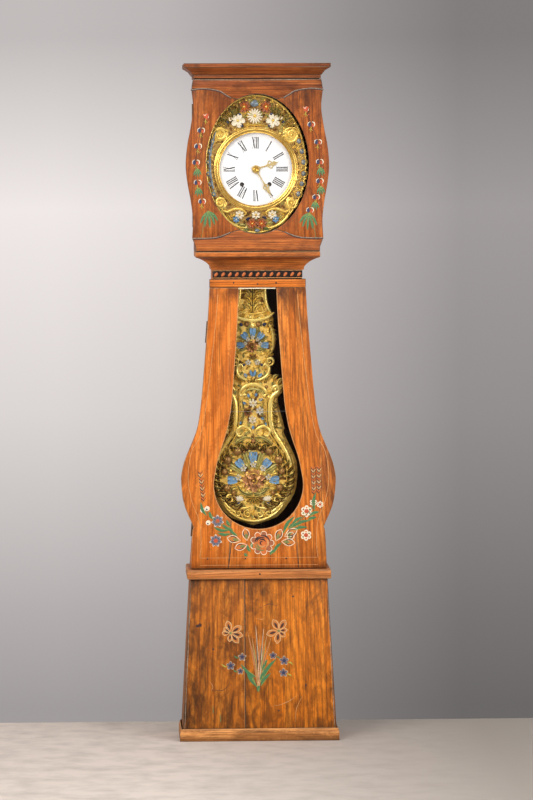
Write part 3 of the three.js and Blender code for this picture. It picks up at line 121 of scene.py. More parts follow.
class Shading:
    # the node tree of a material or a world, with short ways to add nodes and to join them
    def __init__(self, owner):
        owner.use_nodes = True
        self.owner = owner
        self.nodes, self.links = owner.node_tree.nodes, owner.node_tree.links

    def feed(self, socket, value):
        if hasattr(value, "is_output"):
            self.links.new(value, socket)
        else:
            socket.default_value = value

    def add(self, kind, *values, **settings):
        # settings name attributes or sockets, and values fill the sockets in their order
        node = self.nodes.new("ShaderNode" + kind)
        for key, value in settings.items():
            if hasattr(node, key):
                setattr(node, key, value)
            else:
                self.feed(node.inputs[key.replace("_", " ")], value)
        for socket, value in zip(node.inputs, values):
            self.feed(socket, value)
        return node

    def place(self, scale=(1, 1, 1), location=(0, 0, 0), rotation=(0, 0, 0)):
        coords = self.add("TexCoord").outputs["Object"]
        return self.add("Mapping", coords, location, rotation, scale).outputs["Vector"]

    def noise(self, vector, scale, detail, roughness=0.5, distortion=0.0):
        settings = dict(Scale=scale, Detail=detail, Roughness=roughness, Distortion=distortion)
        return self.add("TexNoise", vector, **settings).outputs["Fac"]

    def ramp(self, source, *stops):
        node = self.add("ValToRGB", source)
        elements = node.color_ramp.elements
        while len(elements) < len(stops):
            elements.new(0.5)
        for element, (position, value) in zip(elements, stops):
            element.position = position
            element.color = value if isinstance(value, tuple) else (value, value, value, 1)
        return node.outputs["Color"]

    def mix(self, first, second, factor, blend="MIX"):
        node = self.add("Mix", data_type="RGBA", blend_type=blend)
        for number, value in ((0, factor), (6, first), (7, second)):
            self.feed(node.inputs[number], value)
        return node.outputs[2]

    def calculate(self, operation, first, second):
        return self.add("Math", first, second, operation=operation).outputs["Value"]

    def reach(self, source, start, full):
        return self.add("MapRange", Value=source, From_Min=start, From_Max=full).outputs["Result"]

    def bump(self, height, strength, distance):
        return self.add("Bump", Strength=strength, Distance=distance, Height=height).outputs["Normal"]

    def finish(self, **sockets):
        shader = self.nodes["Principled BSDF"]
        for key, value in sockets.items():
            self.feed(shader.inputs[key.replace("_", " ")], value)
        return self.owner


def newShading(name):
    return Shading(bpy.data.materials.new(name))


# pale, body, deep and streak colour, and how strong the stains are
woodTones = {
    "trunk": ("f0943f", "dc7722", "a65316", "4e260c", 0.22),
    "trunkRight": ("ee9640", "d4721f", "924c18", "3c2010", 0.4),
    "plinthLeft": ("de8c32", "c26d1b", "7e4212", "34200f", 0.66),
    "plinthRight": ("f0942e", "da7817", "945012", "3c240f", 0.54),
    "hood": ("ba6c34", "994f22", "6f3616", "33190e", 0.5),
    "stile": ("cb7530", "a6561e", "763a15", "341a0f", 0.52),
    "rail": ("d07c3c", "b36028", "7f401b", "3c1f10", 0.42),
    "moulding": ("ecaa66", "d8904e", "925826", "4a2b14", 0.42),
    "waist": ("e0985c", "cf7f42", "a0602c", "54301a", 0.3),
    "cove": ("e68c42", "cc702e", "7c3f1b", "3f2010", 0.42),
    "cavity": ("705c52", "5a4a42", "41352f", "241b17", 0.3),
    "dark": ("3a2a22", "2a1d18", "1d1410", "100b08", 0.4),
    "worn": ("e0ab78", "c08c5c", "8c6340", "5a3d28", 0.5),
    "greyed": ("a08468", "76604c", "54402f", "34251b", 0.5),
}
ringWave = dict(wave_type="RINGS", rings_direction="Z", Scale=44.0, Distortion=2.4, Detail=4.0, Detail_Scale=2.4)


def woodMaterial(name, tone, grain, seed, dusk=()):
    pale, body, deep, streak = [rgb(code) for code in woodTones[tone][:4]]
    stain = woodTones[tone][4]
    wood = newShading(name)
    spot = random.Random(seed)
    shift = tuple(spot.uniform(-3, 3) for _ in range(3))

    def drawn(across, along):
        # noise that is drawn out along the grain
        return wood.place((across, across, along) if grain == "z" else (along, across, across), shift)

    # growth rings of a board that is sawn a little off the tree's axis
    tilt = (math.radians(2.5), math.radians(spot.uniform(-2, 2)), 0)
    if grain == "x":
        tilt = (0, math.radians(90 + spot.uniform(-2, 2)), math.radians(2.5))
    heart = wood.place((1, 1, 1), (spot.uniform(-0.12, 0.12), -0.34, spot.uniform(-0.1, 0.1)), tilt)
    wander = wood.add("TexNoise", drawn(2.2, 0.7), Scale=1.4, Detail=3.0, Roughness=0.55).outputs["Color"]
    bent = wood.add("VectorMath", wander, (0.05, 0.05, 0.05), heart, operation="MULTIPLY_ADD").outputs["Vector"]
    rings = wood.add("TexWave", bent, **ringWave).outputs["Fac"]
    fibre = wood.place((92.0, 92.0, 1.7) if grain == "z" else (1.7, 10.2, 92.0), shift)
    streaks = wood.noise(fibre, 1.0, 9.0, 0.66, 0.5)
    pores = wood.noise(fibre, 4.5, 4.0, 0.7)
    stains = wood.noise(drawn(1.8, 0.6), 7.0, 6.0, 0.66, 1.1)
    mottle = wood.noise(drawn(1.2, 0.55), 34.0, 4.0, 0.6, 0.6)
    look = wood.ramp(streaks, (0.32, deep), (0.46, body), (0.68, pale))
    look = wood.mix(look, deep, wood.ramp(rings, (0.0, 0.0), (0.6, 0.1), (0.95, 0.55)))
    look = wood.mix(look, deep, wood.ramp(mottle, (0.46, 0.0), (0.66, stain)))
    look = wood.mix(look, streak, wood.ramp(stains, (0.5, 0.0), (0.62, stain), (0.78, min(1, stain * 1.5))))
    look = wood.mix(look, streak, wood.ramp(pores, (0.52, 0.0), (0.66, 0.85)))
    # darker towards chosen ends and edges: partly painted shade under mouldings and rails, partly a darker tone of the
    # wood
    axes = wood.add("SeparateXYZ", wood.place()).outputs
    for axis, start, full, strength in dusk:
        uneven = wood.ramp(mottle, (0.36, 0.15 * strength), (0.58, strength))
        shade = wood.calculate("MULTIPLY", wood.reach(axes[axis], start, full), uneven)
        look = wood.mix(look, streak, shade)
    # painted shade: darker in corners, along mouldings and next to other parts, by ambient occlusion
    cornerShade = wood.add("AmbientOcclusion", samples=6, Distance=0.03).outputs["AO"]
    look = wood.mix(look, streak, wood.ramp(cornerShade, (0.4, 0.8), (0.88, 0.0)))
    relief = wood.bump(wood.mix(streaks, pores, 0.5), 0.45, 0.0012)
    polish = wood.ramp(streaks, (0.3, 0.66), (0.7, 0.46))
    return wood.finish(Base_Color=look, Roughness=polish, Specular_IOR_Level=0.2, Coat_Weight=0.04,
                       Coat_Roughness=0.3, Normal=relief)


def brassMaterial(name, bright, middle, dark, hammer=0.0, patina=0.9, hollow=0.007, rough=(0.18, 0.36), metallic=0.48):
    brass = newShading(name)
    here = brass.place()
    cloud = brass.noise(here, 70.0, 6.0, 0.62)
    base = brass.ramp(cloud, (0.44, rgb(bright)), (0.7, rgb(middle)))
    hollows = brass.add("AmbientOcclusion", samples=8, only_local=True, Distance=hollow).outputs["AO"]
    shade = brass.ramp(hollows, (0.26, patina), (0.5, patina * 0.5), (0.8, 0.0))
    roughness = brass.ramp(cloud, (0.35, rough[0]), (0.7, rough[1]))
    brass.finish(Base_Color=brass.mix(base, rgb(dark), shade), Metallic=metallic, Roughness=roughness)
    if hammer:
        dents = brass.add("TexVoronoi", here, Scale=hammer, feature="SMOOTH_F1").outputs["Distance"]
        hammered = brass.mix(dents, brass.noise(here, hammer * 3, 3.0), 0.35)
        brass.finish(Normal=brass.bump(hammered, 0.6, 0.002))
    return brass.owner


def paintMaterial(name, color, second, chips=0.25, rough=0.45):
    paint = newShading(name)
    flake = paint.noise(paint.place(), 160.0, 5.0, 0.7)
    worn = paint.calculate("MULTIPLY", paint.ramp(flake, (0.4, 0.0), (0.66, 1.0)), chips)
    return paint.finish(Base_Color=paint.mix(rgb(color), rgb(second), worn), Roughness=rough,
                        Normal=paint.bump(flake, 0.2, 0.0004))


def plainMaterial(name, color, second, scale, rough, metallic=0.0, strength=0.3):
    plain = newShading(name)
    cloud = plain.noise(plain.place(), scale, 6.0, 0.65)
    return plain.finish(Base_Color=plain.ramp(cloud, (0.35, rgb(second)), (0.62, rgb(color))), Metallic=metallic,
                        Roughness=plain.ramp(cloud, (0.3, rough[0]), (0.7, rough[1])),
                        Normal=plain.bump(cloud, strength, 0.0008))


def glassMaterial():
    glass = newShading("thinGlass")
    waves = glass.bump(glass.noise(glass.place(), 9.0, 2.0), 0.12, 0.002)
    return glass.finish(Base_Color=rgb("101312"), Roughness=0.03, IOR=1.5, Alpha=0.05, Normal=waves)


def enamelMaterial():
    enamel = newShading("whiteEnamel")
    white = enamel.ramp(enamel.noise(enamel.place(), 14.0, 4.0), (0.3, rgb("fafbfd")), (0.6, rgb("ffffff")))
    return enamel.finish(Base_Color=white, Roughness=0.16, Coat_Weight=0.4, Coat_Roughness=0.06)


satin = (0.3, 0.5)
ground = dict(hammer=150.0, rough=satin)
finishes = {
    "gilt": brassMaterial("giltLeaves", "ffdb72", "e4b044", "3a2206"),
    "giltPlain": brassMaterial("giltScrolls", "ffe688", "f4c856", "5c3a0c", rough=(0.14, 0.3)),
    "giltDark": brassMaterial("bronzedLeaves", "a87c42", "6a4a28", "20130a", rough=(0.28, 0.5)),
    "giltGreen": brassMaterial("greenGoldLeaves", "d6c97c", "a89b52", "3b3413", rough=satin),
    "giltGround": brassMaterial("giltGround", "fcd470", "c49a46", "33210a", **ground),
    # darker ground round the dial: painted shade in the gaps between the raised leaves, and dull patina
    "surroundGround": brassMaterial("surroundGround", "b48e48", "76582a", "221404", **ground),
    "bezelGilt": brassMaterial("polishedBezel", "ecc264", "cf9f46", "6a4613", patina=0.7, hollow=0.003,
                               rough=(0.12, 0.24), metallic=0.75),
    "copper": brassMaterial("copperLacquer", "c98e58", "8a5934", "2e180c", rough=(0.24, 0.42)),
    "slate": brassMaterial("slateLacquer", "7f8c94", "56626b", "20262b", rough=satin, metallic=0.2),
    "handBrass": brassMaterial("handBrass", "ecd294", "c4a264", "6d5224", patina=0.4, hollow=0.002),
    "brass": brassMaterial("agedBrass", "c4963f", "94702f", "5d431b", patina=0.6),
    "bell": brassMaterial("bellMetal", "b9975a", "94774a", "59452a", patina=0.5),
    "dulled": plainMaterial("dulledHinge", "6b4a2c", "3c281a", 120.0, (0.5, 0.75), metallic=0.3),
    "iron": plainMaterial("filedIron", "565350", "322e2b", 60.0, (0.35, 0.6), metallic=0.85),
    "castIron": plainMaterial("castIron", "35332f", "1f1d1b", 220.0, (0.55, 0.8), metallic=0.4, strength=0.6),
    "line": plainMaterial("gutLine", "a08a60", "6f5c3c", 900.0, (0.5, 0.7)),
    "glass": glassMaterial(),
    "enamel": enamelMaterial(),
    "black": paintMaterial("blackNumeral", "17161a", "2b2a2c", chips=0.2, rough=0.3),
}

# colour, what shows where it is worn, and how much of it is worn
paints = {
    "cream": ("eadfc4", "c9a67a", 0.25), "white": ("ded8c8", "a8977c", 0.25), "grey": ("8a929a", "53525a", 0.25),
    "blue": ("6f98bb", "6d8390", 0.25), "navy": ("262f52", "3b4260", 0.25), "worn": ("9b8a78", "4f4034", 0.95),
    "green": ("44794a", "2f5a36", 0.5), "dusk": ("77757e", "3f3b46", 0.6), "lime": ("b3a63c", "7f7a2c", 0.25),
    "olive": ("7b8147", "55592e", 0.4), "red": ("c4512b", "8a351d", 0.25), "rose": ("a8623c", "6f3a22", 0.5),
    "orange": ("d3702c", "a34f1d", 0.5), "brown": ("43221a", "2a1510", 0.25), "string": ("d39a5e", "b0713a", 0.8),
    "amber": ("cc7a30", "a05a22", 0.7), "straw": ("dcb985", "b98a50", 0.7), "crack": ("1c0f0a", "2d180f", 0.25),
}
for name, (color, second, chips) in paints.items():
    finishes[name] = paintMaterial(name + "Paint", color, second, chips)
print("materials ready:", len(finishes))


# raised and painted strokes: a path, widths along it, a height and a section across it

sections = {
    "flat": [(-1, 0), (-0.82, 1), (0.82, 1), (1, 0)],
    "round": [(-1, 0), (-0.86, 0.5), (-0.5, 0.87), (0, 1), (0.5, 0.87), (0.86, 0.5), (1, 0)],
    "leaf": [(-1, 0), (-0.78, 0.7), (-0.4, 1), (0, 0.4), (0.4, 1), (0.78, 0.7), (1, 0)],
    "petal": [(-1, 0), (-0.82, 0.95), (-0.45, 0.7), (0, 0.5), (0.45, 0.7), (0.82, 0.95), (1, 0)],
}
leafWidths = (0.3, 0.85, 1.0, 0.75, 0.1)
thinnest = 0.12


def smoothPath(points, steps):
    # a curve through the chosen points
    pts = [np.array(p, float) for p in points]
    if len(pts) == 2:
        return [pts[0] + (pts[1] - pts[0]) * t for t in np.linspace(0, 1, steps + 1)]
    pts = [2 * pts[0] - pts[1]] + pts + [2 * pts[-1] - pts[-2]]
    spans = len(pts) - 3
    path = []
    for t in np.linspace(0, spans, steps + 1):
        i = min(int(t), spans - 1)
        f = t - i
        a, b, c, d = pts[i:i + 4]
        bend = (2 * a - 5 * b + 4 * c - d) * f * f + (3 * b - a - 3 * c + d) * f ** 3
        path.append(0.5 * (2 * b + (c - a) * f + bend))
    return path


def polar(centre, radius, degrees):
    turn = math.radians(degrees)
    return (centre[0] + radius * math.cos(turn), centre[1] + radius * math.sin(turn))


def arc(centre, *spots):
    # a path through places that are given as radius and direction
    return [polar(centre, radius, turn) for radius, turn in spots]


def spiral(centre, outer, inner, start, turns, count=14):
    # a volute that winds in from start, in degrees, and to the left for positive turns
    return [polar(centre, outer + (inner - outer) * t, start + 360 * turns * t) for t in np.linspace(0, 1, count)]


class Relief:
    # forms in millimetres that stand on one upright surface and reach a little into it
    def __init__(self, surface, depth=0.3):
        self.surface, self.depth = surface, depth
        self.points, self.faces, self.paints, self.names = [], [], [], []

    def add(self, points, faces, paint):
        start = len(self.points)
        if paint not in self.names:
            self.names.append(paint)
        self.points += [(x * mm, (self.surface - lift) * mm, z * mm) for x, lift, z in points]
        self.faces += [tuple(start + corner for corner in face) for face in faces]
        self.paints += [self.names.index(paint)] * len(faces)

    def sweep(self, path, widths, height, paint, section="round", steps=12):
        path = smoothPath(path, steps)
        count = len(path)
        width = np.interp(np.linspace(0, 1, count), np.linspace(0, 1, len(widths)), widths) / 2
        rise = height * np.clip(width / max(width.max(), 1e-6), 0.25, 1) ** 0.6
        outline = [(-1, None)] + sections[section] + [(1, None)]
        ring = len(outline)
        points = []
        for i, p in enumerate(path):
            ahead = path[min(i + 1, count - 1)] - path[max(i - 1, 0)]
            side = np.array([ahead[1], -ahead[0]]) / (np.hypot(*ahead) or 1)
            for across, share in outline:
                x, z = p + side * across * max(width[i], thinnest)
                points.append((x, -self.depth if share is None else share * rise[i], z))
        faces = [(row + k, row + ring + k, row + ring + (k + 1) % ring, row + (k + 1) % ring)
                 for row in range(0, (count - 1) * ring, ring) for k in range(ring)]
        ends = [tuple(range(ring)), tuple(reversed(range((count - 1) * ring, count * ring)))]
        self.add(points, faces + ends, paint)

    def dome(self, centre, radii, height, paint, sides=14, rows=4):
        wide, high = radii if isinstance(radii, tuple) else (radii, radii)
        levels = [(1, -self.depth)]
        levels += [(math.cos(a), height * math.sin(a)) for a in np.linspace(0, math.pi / 2, rows + 1)[:-1]]
        circle = [polar((0, 0), 1, 360 * k / sides) for k in range(sides)]
        points = [(centre[0] + wide * share * x, lift, centre[1] + high * share * z)
                  for share, lift in levels for x, z in circle]
        top, rim = len(points), len(points) - sides
        faces = [(row + k, row + (k + 1) % sides, row + sides + (k + 1) % sides, row + sides + k)
                 for row in range(0, rim, sides) for k in range(sides)]
        faces += [(rim + k, rim + (k + 1) % sides, top) for k in range(sides)] + [tuple(reversed(range(sides)))]
        self.add(points + [(centre[0], height, centre[1])], faces, paint)

    def leaf(self, base, tip, width, paint, height, bend=0.0, section="leaf", steps=9):
        base, tip = np.array(base, float), np.array(tip, float)
        along = tip - base
        middle = (base + tip) / 2 + np.array([-along[1], along[0]]) * bend
        self.sweep([base, middle, tip], [width * share for share in leafWidths], height, paint, section, steps)

    def bloom(self, centre, radius, petals, paint, height, start=90, share=1.0, section="petal"):
        # broad petals round a middle
        width = 2 * math.pi * radius * 0.62 / petals * share
        for k in range(petals):
            path = [polar(centre, radius * r, start + 360 * k / petals) for r in (0.12, 0.6, 1)]
            self.sweep(path, [width * 0.35, width * 0.85, width, width * 0.55], height, paint, section, 6)

    def stroke(self, path, widths, paint, steps=10, height=0.3):
        self.sweep(path, widths, height, paint, "flat", steps)

    def finish(self, name, body, slot):
        mesh = bpy.data.meshes.new(name)
        mesh.from_pydata(self.points, [], self.faces)
        obj = bpy.data.objects.new(name, mesh)
        bpy.context.scene.collection.objects.link(obj)
        giveMaterials(obj, [finishes[paint] for paint in self.names])
        mesh.polygons.foreach_set("material_index", self.paints)
        mesh.validate()
        mesh.update()
        closeSkin(obj)
        finishPiece(obj, body, 50)


# outlines that are taken from the solids, so that what is laid on them follows them

def frontEdges(node, frontY):
    # border of a node's front face, as pairs of (x, z) in millimetres
    shell = bmesh.new()
    shell.from_mesh(cadNodes[node].data)
    bmesh.ops.remove_doubles(shell, verts=shell.verts, dist=0.00002)
    front = {face.index for face in shell.faces
             if face.normal.y < -0.98 and abs(face.calc_center_median().y / mm - frontY) < 0.4}
    border = [edge for edge in shell.edges if sum(face.index in front for face in edge.link_faces) == 1]
    pairs = [tuple((v.co.x / mm, v.co.z / mm) for v in edge.verts) for edge in border]
    shell.free()
    return pairs


def crossings(pairs, z):
    return [x0 + (x1 - x0) * (z - z0) / (z1 - z0) for (x0, z0), (x1, z1) in pairs if (z0 - z) * (z1 - z) < 0]


def leafwork(art, area, inside, away, count, spacing, seed, leafPaints, lengths, height):
    # small leaves that fill the ground between larger figures and grow away from the nearest middle
    spot = random.Random(seed)
    x0, x1, z0, z1 = area
    grown = {}
    for _ in range(count):
        x, z = spot.uniform(x0, x1), spot.uniform(z0, z1)
        cell = (round(x / spacing), round(z / spacing))
        near = [p for i in (-1, 0, 1) for j in (-1, 0, 1) for p in grown.get((cell[0] + i, cell[1] + j), [])]
        if not inside(x, z) or any((x - a) ** 2 + (z - b) ** 2 < spacing ** 2 for a, b in near):
            continue
        grown.setdefault(cell, []).append((x, z))
        middle = min(away, key=lambda m: (m[0] - x) ** 2 + (m[1] - z) ** 2)
        turn = math.degrees(math.atan2(z - middle[1], x - middle[0])) + spot.uniform(-55, 55)
        length = spot.uniform(*lengths)
        paint = spot.choice(leafPaints)
        if spot.random() < 0.16:
            art.dome((x, z), length * 0.3, height * 1.1, paint, sides=8, rows=2)
        else:
            base, tip = polar((x, z), length * 0.5, turn + 180), polar((x, z), length * 0.5, turn)
            rise, bend = height * spot.uniform(0.75, 1.15), spot.uniform(-0.35, 0.35)
            art.leaf(base, tip, length * 0.62, paint, rise, bend, steps=5)


# boards: a copy of each wooden node with its arrises worn round

# wood, direction of its grain, wood of the worn edges, and how far they are worn
boardFinish = {
    "plinth_board_left": ("plinthLeft", "z", "greyed", 1.6), "plinth_board_right": ("plinthRight", "z", "greyed", 1.6),
    "plinth_side_left": ("plinthLeft", "z", "greyed", 1.4), "plinth_side_right": ("plinthLeft", "z", "greyed", 1.4),
    "skirting": ("moulding", "x", "worn", 1.4), "waist_moulding": ("waist", "x", "worn", 1.0),
    "trunk_side_left": ("trunk", "z", "worn", 1.4), "trunk_side_right": ("trunkRight", "z", "worn", 1.4),
    "case_back": ("cavity", "z", "cavity", 1.5), "rope_frieze": ("dark", "x", "dark", 0.6),
    "hood_cove": ("cove", "x", "worn", 0.8), "hood_base": ("cove", "x", "worn", 1.6),
    "hood_side_left": ("hood", "z", "greyed", 1.4), "hood_side_right": ("hood", "z", "greyed", 1.4),
    "hood_top": ("hood", "x", "greyed", 1.0), "cornice": ("hood", "x", "greyed", 1.4),
    "trunk_door_rail": ("trunk", "x", "greyed", 1.6), "trunk_door_board_left": ("trunk", "z", "worn", 1.8),
    "trunk_door_board_middle": ("trunk", "z", "worn", 1.8), "trunk_door_board_right": ("trunkRight", "z", "worn", 1.8),
    "hood_door_rail_top": ("hood", "x", "greyed", 2.2), "hood_door_rail_bottom": ("rail", "x", "greyed", 2.2),
    "hood_door_stile_left": ("stile", "z", "greyed", 2.2), "hood_door_stile_right": ("stile", "z", "greyed", 2.2),
    "seat_board": ("dark", "x", "dark", 1.5),
}
# where boards grow darker, partly painted shade under mouldings and rails and partly a darker tone: axis, start, full
# and strength
shadeAndDarkeningOf = {
    "plinth_board_left": [("X", -0.16, -0.25, 0.7), ("Z", 0.2, 0.02, 0.6), ("Z", 0.48, 0.54, 0.4)],
    "plinth_board_right": [("X", 0.13, -0.05, 0.6), ("X", 0.19, 0.25, 0.4), ("Z", 0.12, 0.02, 0.6),
                           ("Z", 0.46, 0.54, 0.35)],
    "skirting": [("X", 0.12, 0.26, 0.4)],
    "trunk_door_rail": [("X", -0.12, -0.16, 0.5), ("X", 0.12, 0.16, 0.5)],
    "trunk_door_board_left": [("Z", 1.42, 1.455, 0.75), ("X", -0.19, -0.25, 0.4), ("Z", 0.68, 0.56, 0.25)],
    "trunk_door_board_middle": [("Z", 0.7, 0.56, 0.25)],
    "trunk_door_board_right": [("Z", 1.4, 1.455, 0.75), ("X", 0.19, 0.25, 0.45), ("Z", 0.68, 0.56, 0.25)],
    "hood_door_rail_top": [("X", -0.15, -0.23, 0.7), ("X", 0.15, 0.23, 0.6)],
    "hood_door_rail_bottom": [("X", -0.19, -0.23, 0.7), ("X", 0.18, 0.22, 0.6)],
    "hood_door_stile_left": [("Z", 2.0, 2.12, 0.6)],
    "hood_door_stile_right": [("Z", 2.0, 2.12, 0.6)],
    "cornice": [("X", 0.1, 0.25, 0.4)],
}
boardWear = dict(merge=0.00002, flatten=0.6, segments=2, sharp=38, smooth=35)


def softBoard(seed, node, tone, grain, edge, bevel):
    face = woodMaterial(camel(node) + "Wood", tone, grain, seed, shadeAndDarkeningOf.get(node, ()))
    obj = copyOfNode(node, [face, woodMaterial(camel(node) + "Edge", edge, grain, seed + 100)])
    closeSkin(obj, boardWear["merge"], boardWear["flatten"])
    arris = obj.modifiers.new("arris", "BEVEL")
    arris.width = bevel * mm
    arris.segments = boardWear["segments"]
    arris.limit_method = "ANGLE"
    arris.angle_limit = math.radians(boardWear["sharp"])
    arris.material = 1
    bpy.ops.object.modifier_apply(modifier=arris.name)
    finishPiece(obj, bodyOf[node], boardWear["smooth"])
    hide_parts(node)


for number, (node, settings) in enumerate(boardFinish.items()):
    softBoard(number, node, *settings)
print("boards worn:", len(boardFinish))

metalFinish = {"gilt_brass": "giltGround", "brass": "brass", "bell_metal": "bell", "enamel": "enamel", "iron": "iron",
               "cast_iron": "castIron", "glass": "glass", "line": "line"}
# words in a node's name that ask for another finish
namedFinish = {"_hand": "handBrass", "hinge": "dulled", "_drum": "iron", "dial_surround": "surroundGround"}
for node, slot in slotOf.items():
    if slot in metalFinish:
        finish = next((named for word, named in namedFinish.items() if word in node), metalFinish[slot])
        for holder in cadNodes[node].material_slots:
            holder.material = finishes[finish]


# dial

dial = dict(centre=(-5.0, 1858.0), frontY=-91.7, foot=67.275, head=103.545, hairline=1.1, lift=0.25)
# a letter's advance, its bars from foot to head with their widths, and its serifs: place, share of height, length
letters = {
    "I": (5.8, [(0, 0, 3.3)], [(0, 0.01, 5.2), (0, 0.99, 5.2)]),
    "V": (11.4, [(0.3, -3.8, 3.3), (0.9, 4.0, 1.1)], [(-3.8, 0.99, 5.4), (4.0, 0.99, 3.4)]),
    "X": (10.8, [(3.3, -3.3, 3.3), (-3.5, 3.5, 1.1)], [(x, share, 4.2) for x in (-3.4, 3.4) for share in (0.01, 0.99)]),
}


def numeral(art, text, degrees):
    # upright along the radius, with its foot towards the centre
    outward = np.array(polar((0, 0), 1, 90 - degrees))
    clockwise = np.array([outward[1], -outward[0]])

    def bar(width, *ends):
        path = [dial["centre"] + outward * (dial["foot"] + (dial["head"] - dial["foot"]) * share) + clockwise * across
                for across, share in ends]
        art.stroke(path, [width, width], "black", 1, dial["lift"])

    left = -sum(letters[letter][0] for letter in text) / 2
    for letter in text:
        advance, bars, serifs = letters[letter]
        middle = left + advance / 2
        for foot, head, width in bars:
            bar(width, (middle + foot, 0.02), (middle + head, 0.98))
        for x, share, length in serifs:
            bar(dial["hairline"], (middle + x - length / 2, share), (middle + x + length / 2, share))
        left += advance


def buildNumerals():
    art = Relief(dial["frontY"], 0.2)
    for hour, text in enumerate("XII I II III IIII V VI VII VIII IX X XI".split()):
        numeral(art, text, hour * 30)
    art.finish("numerals", "root", "enamel")


buildNumerals()
print("numerals painted")


# bezel, winding holes and boss: turned brass

# sections as (radius, y)
turnery = dict(
    steps=96, smooth=40, merge=0.00001, windingHoles=((-49.5, 1809.0), (39.5, 1809.0)),
    bezel=[(117.6, -102.4), (118.2, -104.2), (119.8, -104.8), (121.2, -104.2), (122.0, -103.5), (122.9, -104.5),
           (125.2, -105.4), (128.2, -105.5), (130.6, -104.8), (131.5, -103.7), (132.4, -104.1), (134.2, -104.3),
           (135.8, -103.5), (136.2, -101.5), (136.2, -99.5), (117.6, -99.5)],
    rim=[(4.4, -91.2), (4.6, -92.6), (5.6, -93.0), (6.9, -92.4), (7.2, -91.2)],
    boss=[(0.4, -102.0), (0.4, -104.0), (2.6, -104.2), (3.6, -103.2), (4.6, -103.7), (6.4, -103.6), (7.2, -102.8),
          (8.6, -103.2), (10.0, -102.9), (10.4, -102.0)],
)


def turned(name, section, centre, finish, body):
    # spins a closed section once round a middle
    middle = (centre[0] * mm, 0, centre[1] * mm)
    count = len(section)
    mesh = bpy.data.meshes.new(name)
    points = [(middle[0] + radius * mm, y * mm, middle[2]) for radius, y in section]
    mesh.from_pydata(points, [(k, (k + 1) % count) for k in range(count)], [])
    obj = bpy.data.objects.new(name, mesh)
    bpy.context.scene.collection.objects.link(obj)
    giveMaterials(obj, [finishes[finish]])
    selectOnly(obj)
    bpy.ops.object.mode_set(mode="EDIT")
    bpy.ops.mesh.select_all(action="SELECT")
    bpy.ops.mesh.spin(steps=turnery["steps"], angle=2 * math.pi, center=middle, axis=(0, 1, 0))
    bpy.ops.object.mode_set(mode="OBJECT")
    closeSkin(obj, turnery["merge"])
    finishPiece(obj, body, turnery["smooth"])


turned("dialBezel", turnery["bezel"], dial["centre"], "bezelGilt", "root")
for side, hole in zip("LR", turnery["windingHoles"]):
    turned("windingRim" + side, turnery["rim"], hole, "iron", "root")
turned("handBoss", turnery["boss"], dial["centre"], "bezelGilt", bodyOf["minute_hand"])


# pressed brass: tables of what stands on it, with places from a middle

def mirrored(at, sign):
    # places and directions on one side of the middle
    return lambda x, z: at(sign * x, z), lambda turn: turn if sign > 0 else 180 - turn


def pressStrokes(art, at, rows, bright="gilt"):
    # places, widths, height, paint, section and steps
    for places, widths, height, paint, section, steps in rows:
        art.sweep([at(x, z) for x, z in places], widths, height, bright if paint == "bright" else paint, section, steps)


def pressDomes(art, at, rows):
    # places, then radii, height, paint, sides and rows
    for places, *form in rows:
        for x, z in places:
            art.dome(at(x, z), *form)


def pressLeaves(art, at, rows):
    # ends, then width, paint, height, bend and section
    for places, *form in rows:
        for x0, z0, x1, z1 in places:
            art.leaf(at(x0, z0), at(x1, z1), *form)


def flower(art, centre, eye, *blooms):
    for bloom in blooms:
        art.bloom(centre, *bloom)
    art.dome(centre, *eye)


# pressed brass round the dial: places are from the dial's middle

surround = dict(
    centre=(-5.0, 1875.0), half=(165.8, 226.2), faceY=-99.0, depth=5.5, margin=9, bezelRadius=136,
    area=(-172, 162, 1648, 2102),
    ground=dict(count=9000, spacing=11.5, seed=21, lengths=(12, 19), height=3.4,
                leafPaints=["gilt", "giltDark", "giltGreen", "giltDark", "gilt"]),
    # first and last direction, widths, height and paint
    bands=[(148, 214, [14, 22, 23, 23, 22, 14], 2.6, "surroundGround"),
           (-34, 32, [14, 22, 23, 23, 22, 14], 2.6, "surroundGround"),
           (150, 212, [5, 10, 11, 11, 10, 5], 3.8, "slate")],
    stones=[(140, 90), (150, 57), (155, 22), (155, -15), (149, -48), (138, -81)],
    strokes=[
        ([(88, 122), (108, 132), (128, 134)], [4, 10, 4], 6.8, "gilt", "round", 16),
        ([(116, -124), (98, -138), (84, -134), (66, -128), (44, -132), (32, -142), (40, -150)],
         [4, 8, 10, 10, 9, 7, 3], 6.4, "gilt", "round", 28),
        ([(112, -132), (100, -156), (80, -176), (54, -188), (32, -190)], [4, 12, 14, 10, 4], 6.4, "gilt", "round", 20),
        ([(96, -140), (86, -158), (70, -168)], [4, 10, 4], 6.0, "gilt", "leaf", 14)],
    beads=[(126, 146), (112, 172), (92, 194), (70, 208), (50, 217), (30, 223)],
    leaves=[
        ([(74, 162, 90, 166)], 14, "cream", 5.6, 0.12, "petal"),
        ([(46, 176, 57, 181), (40, 138, 51, 143), (86, 150, 97, 155)], 10, "navy", 5.4, 0.0, "round"),
        ([(60, 196, 80, 186), (14, 186, 19, 170), (16, 214, 6, 226), (30, 178, 40, 168)], 11, "giltGreen", 5.4, 0.15),
        ([(34, -180, 58, -176)], 13, "giltGreen", 5.8, 0.15), ([(24, -194, 46, -198)], 12, "olive", 5.6, 0.15),
        ([(20, -156, 34, -162)], 10, "navy", 5.6, 0.15)],
    slates=[([(-3, 213)], (15, 12), 6.0, "slate", 20), ([(4, -199)], (9, 7), 6.0, "slate", 12)],
)


def aroundOval(degrees, inset):
    x, z = polar((0, 0), 1, degrees)
    (left, foot), (wide, high) = surround["centre"], surround["half"]
    return (left + (wide - inset) * x, foot + (high - inset) * z)


def dialPoint(x, z):
    return (dial["centre"][0] + x, dial["centre"][1] + z)


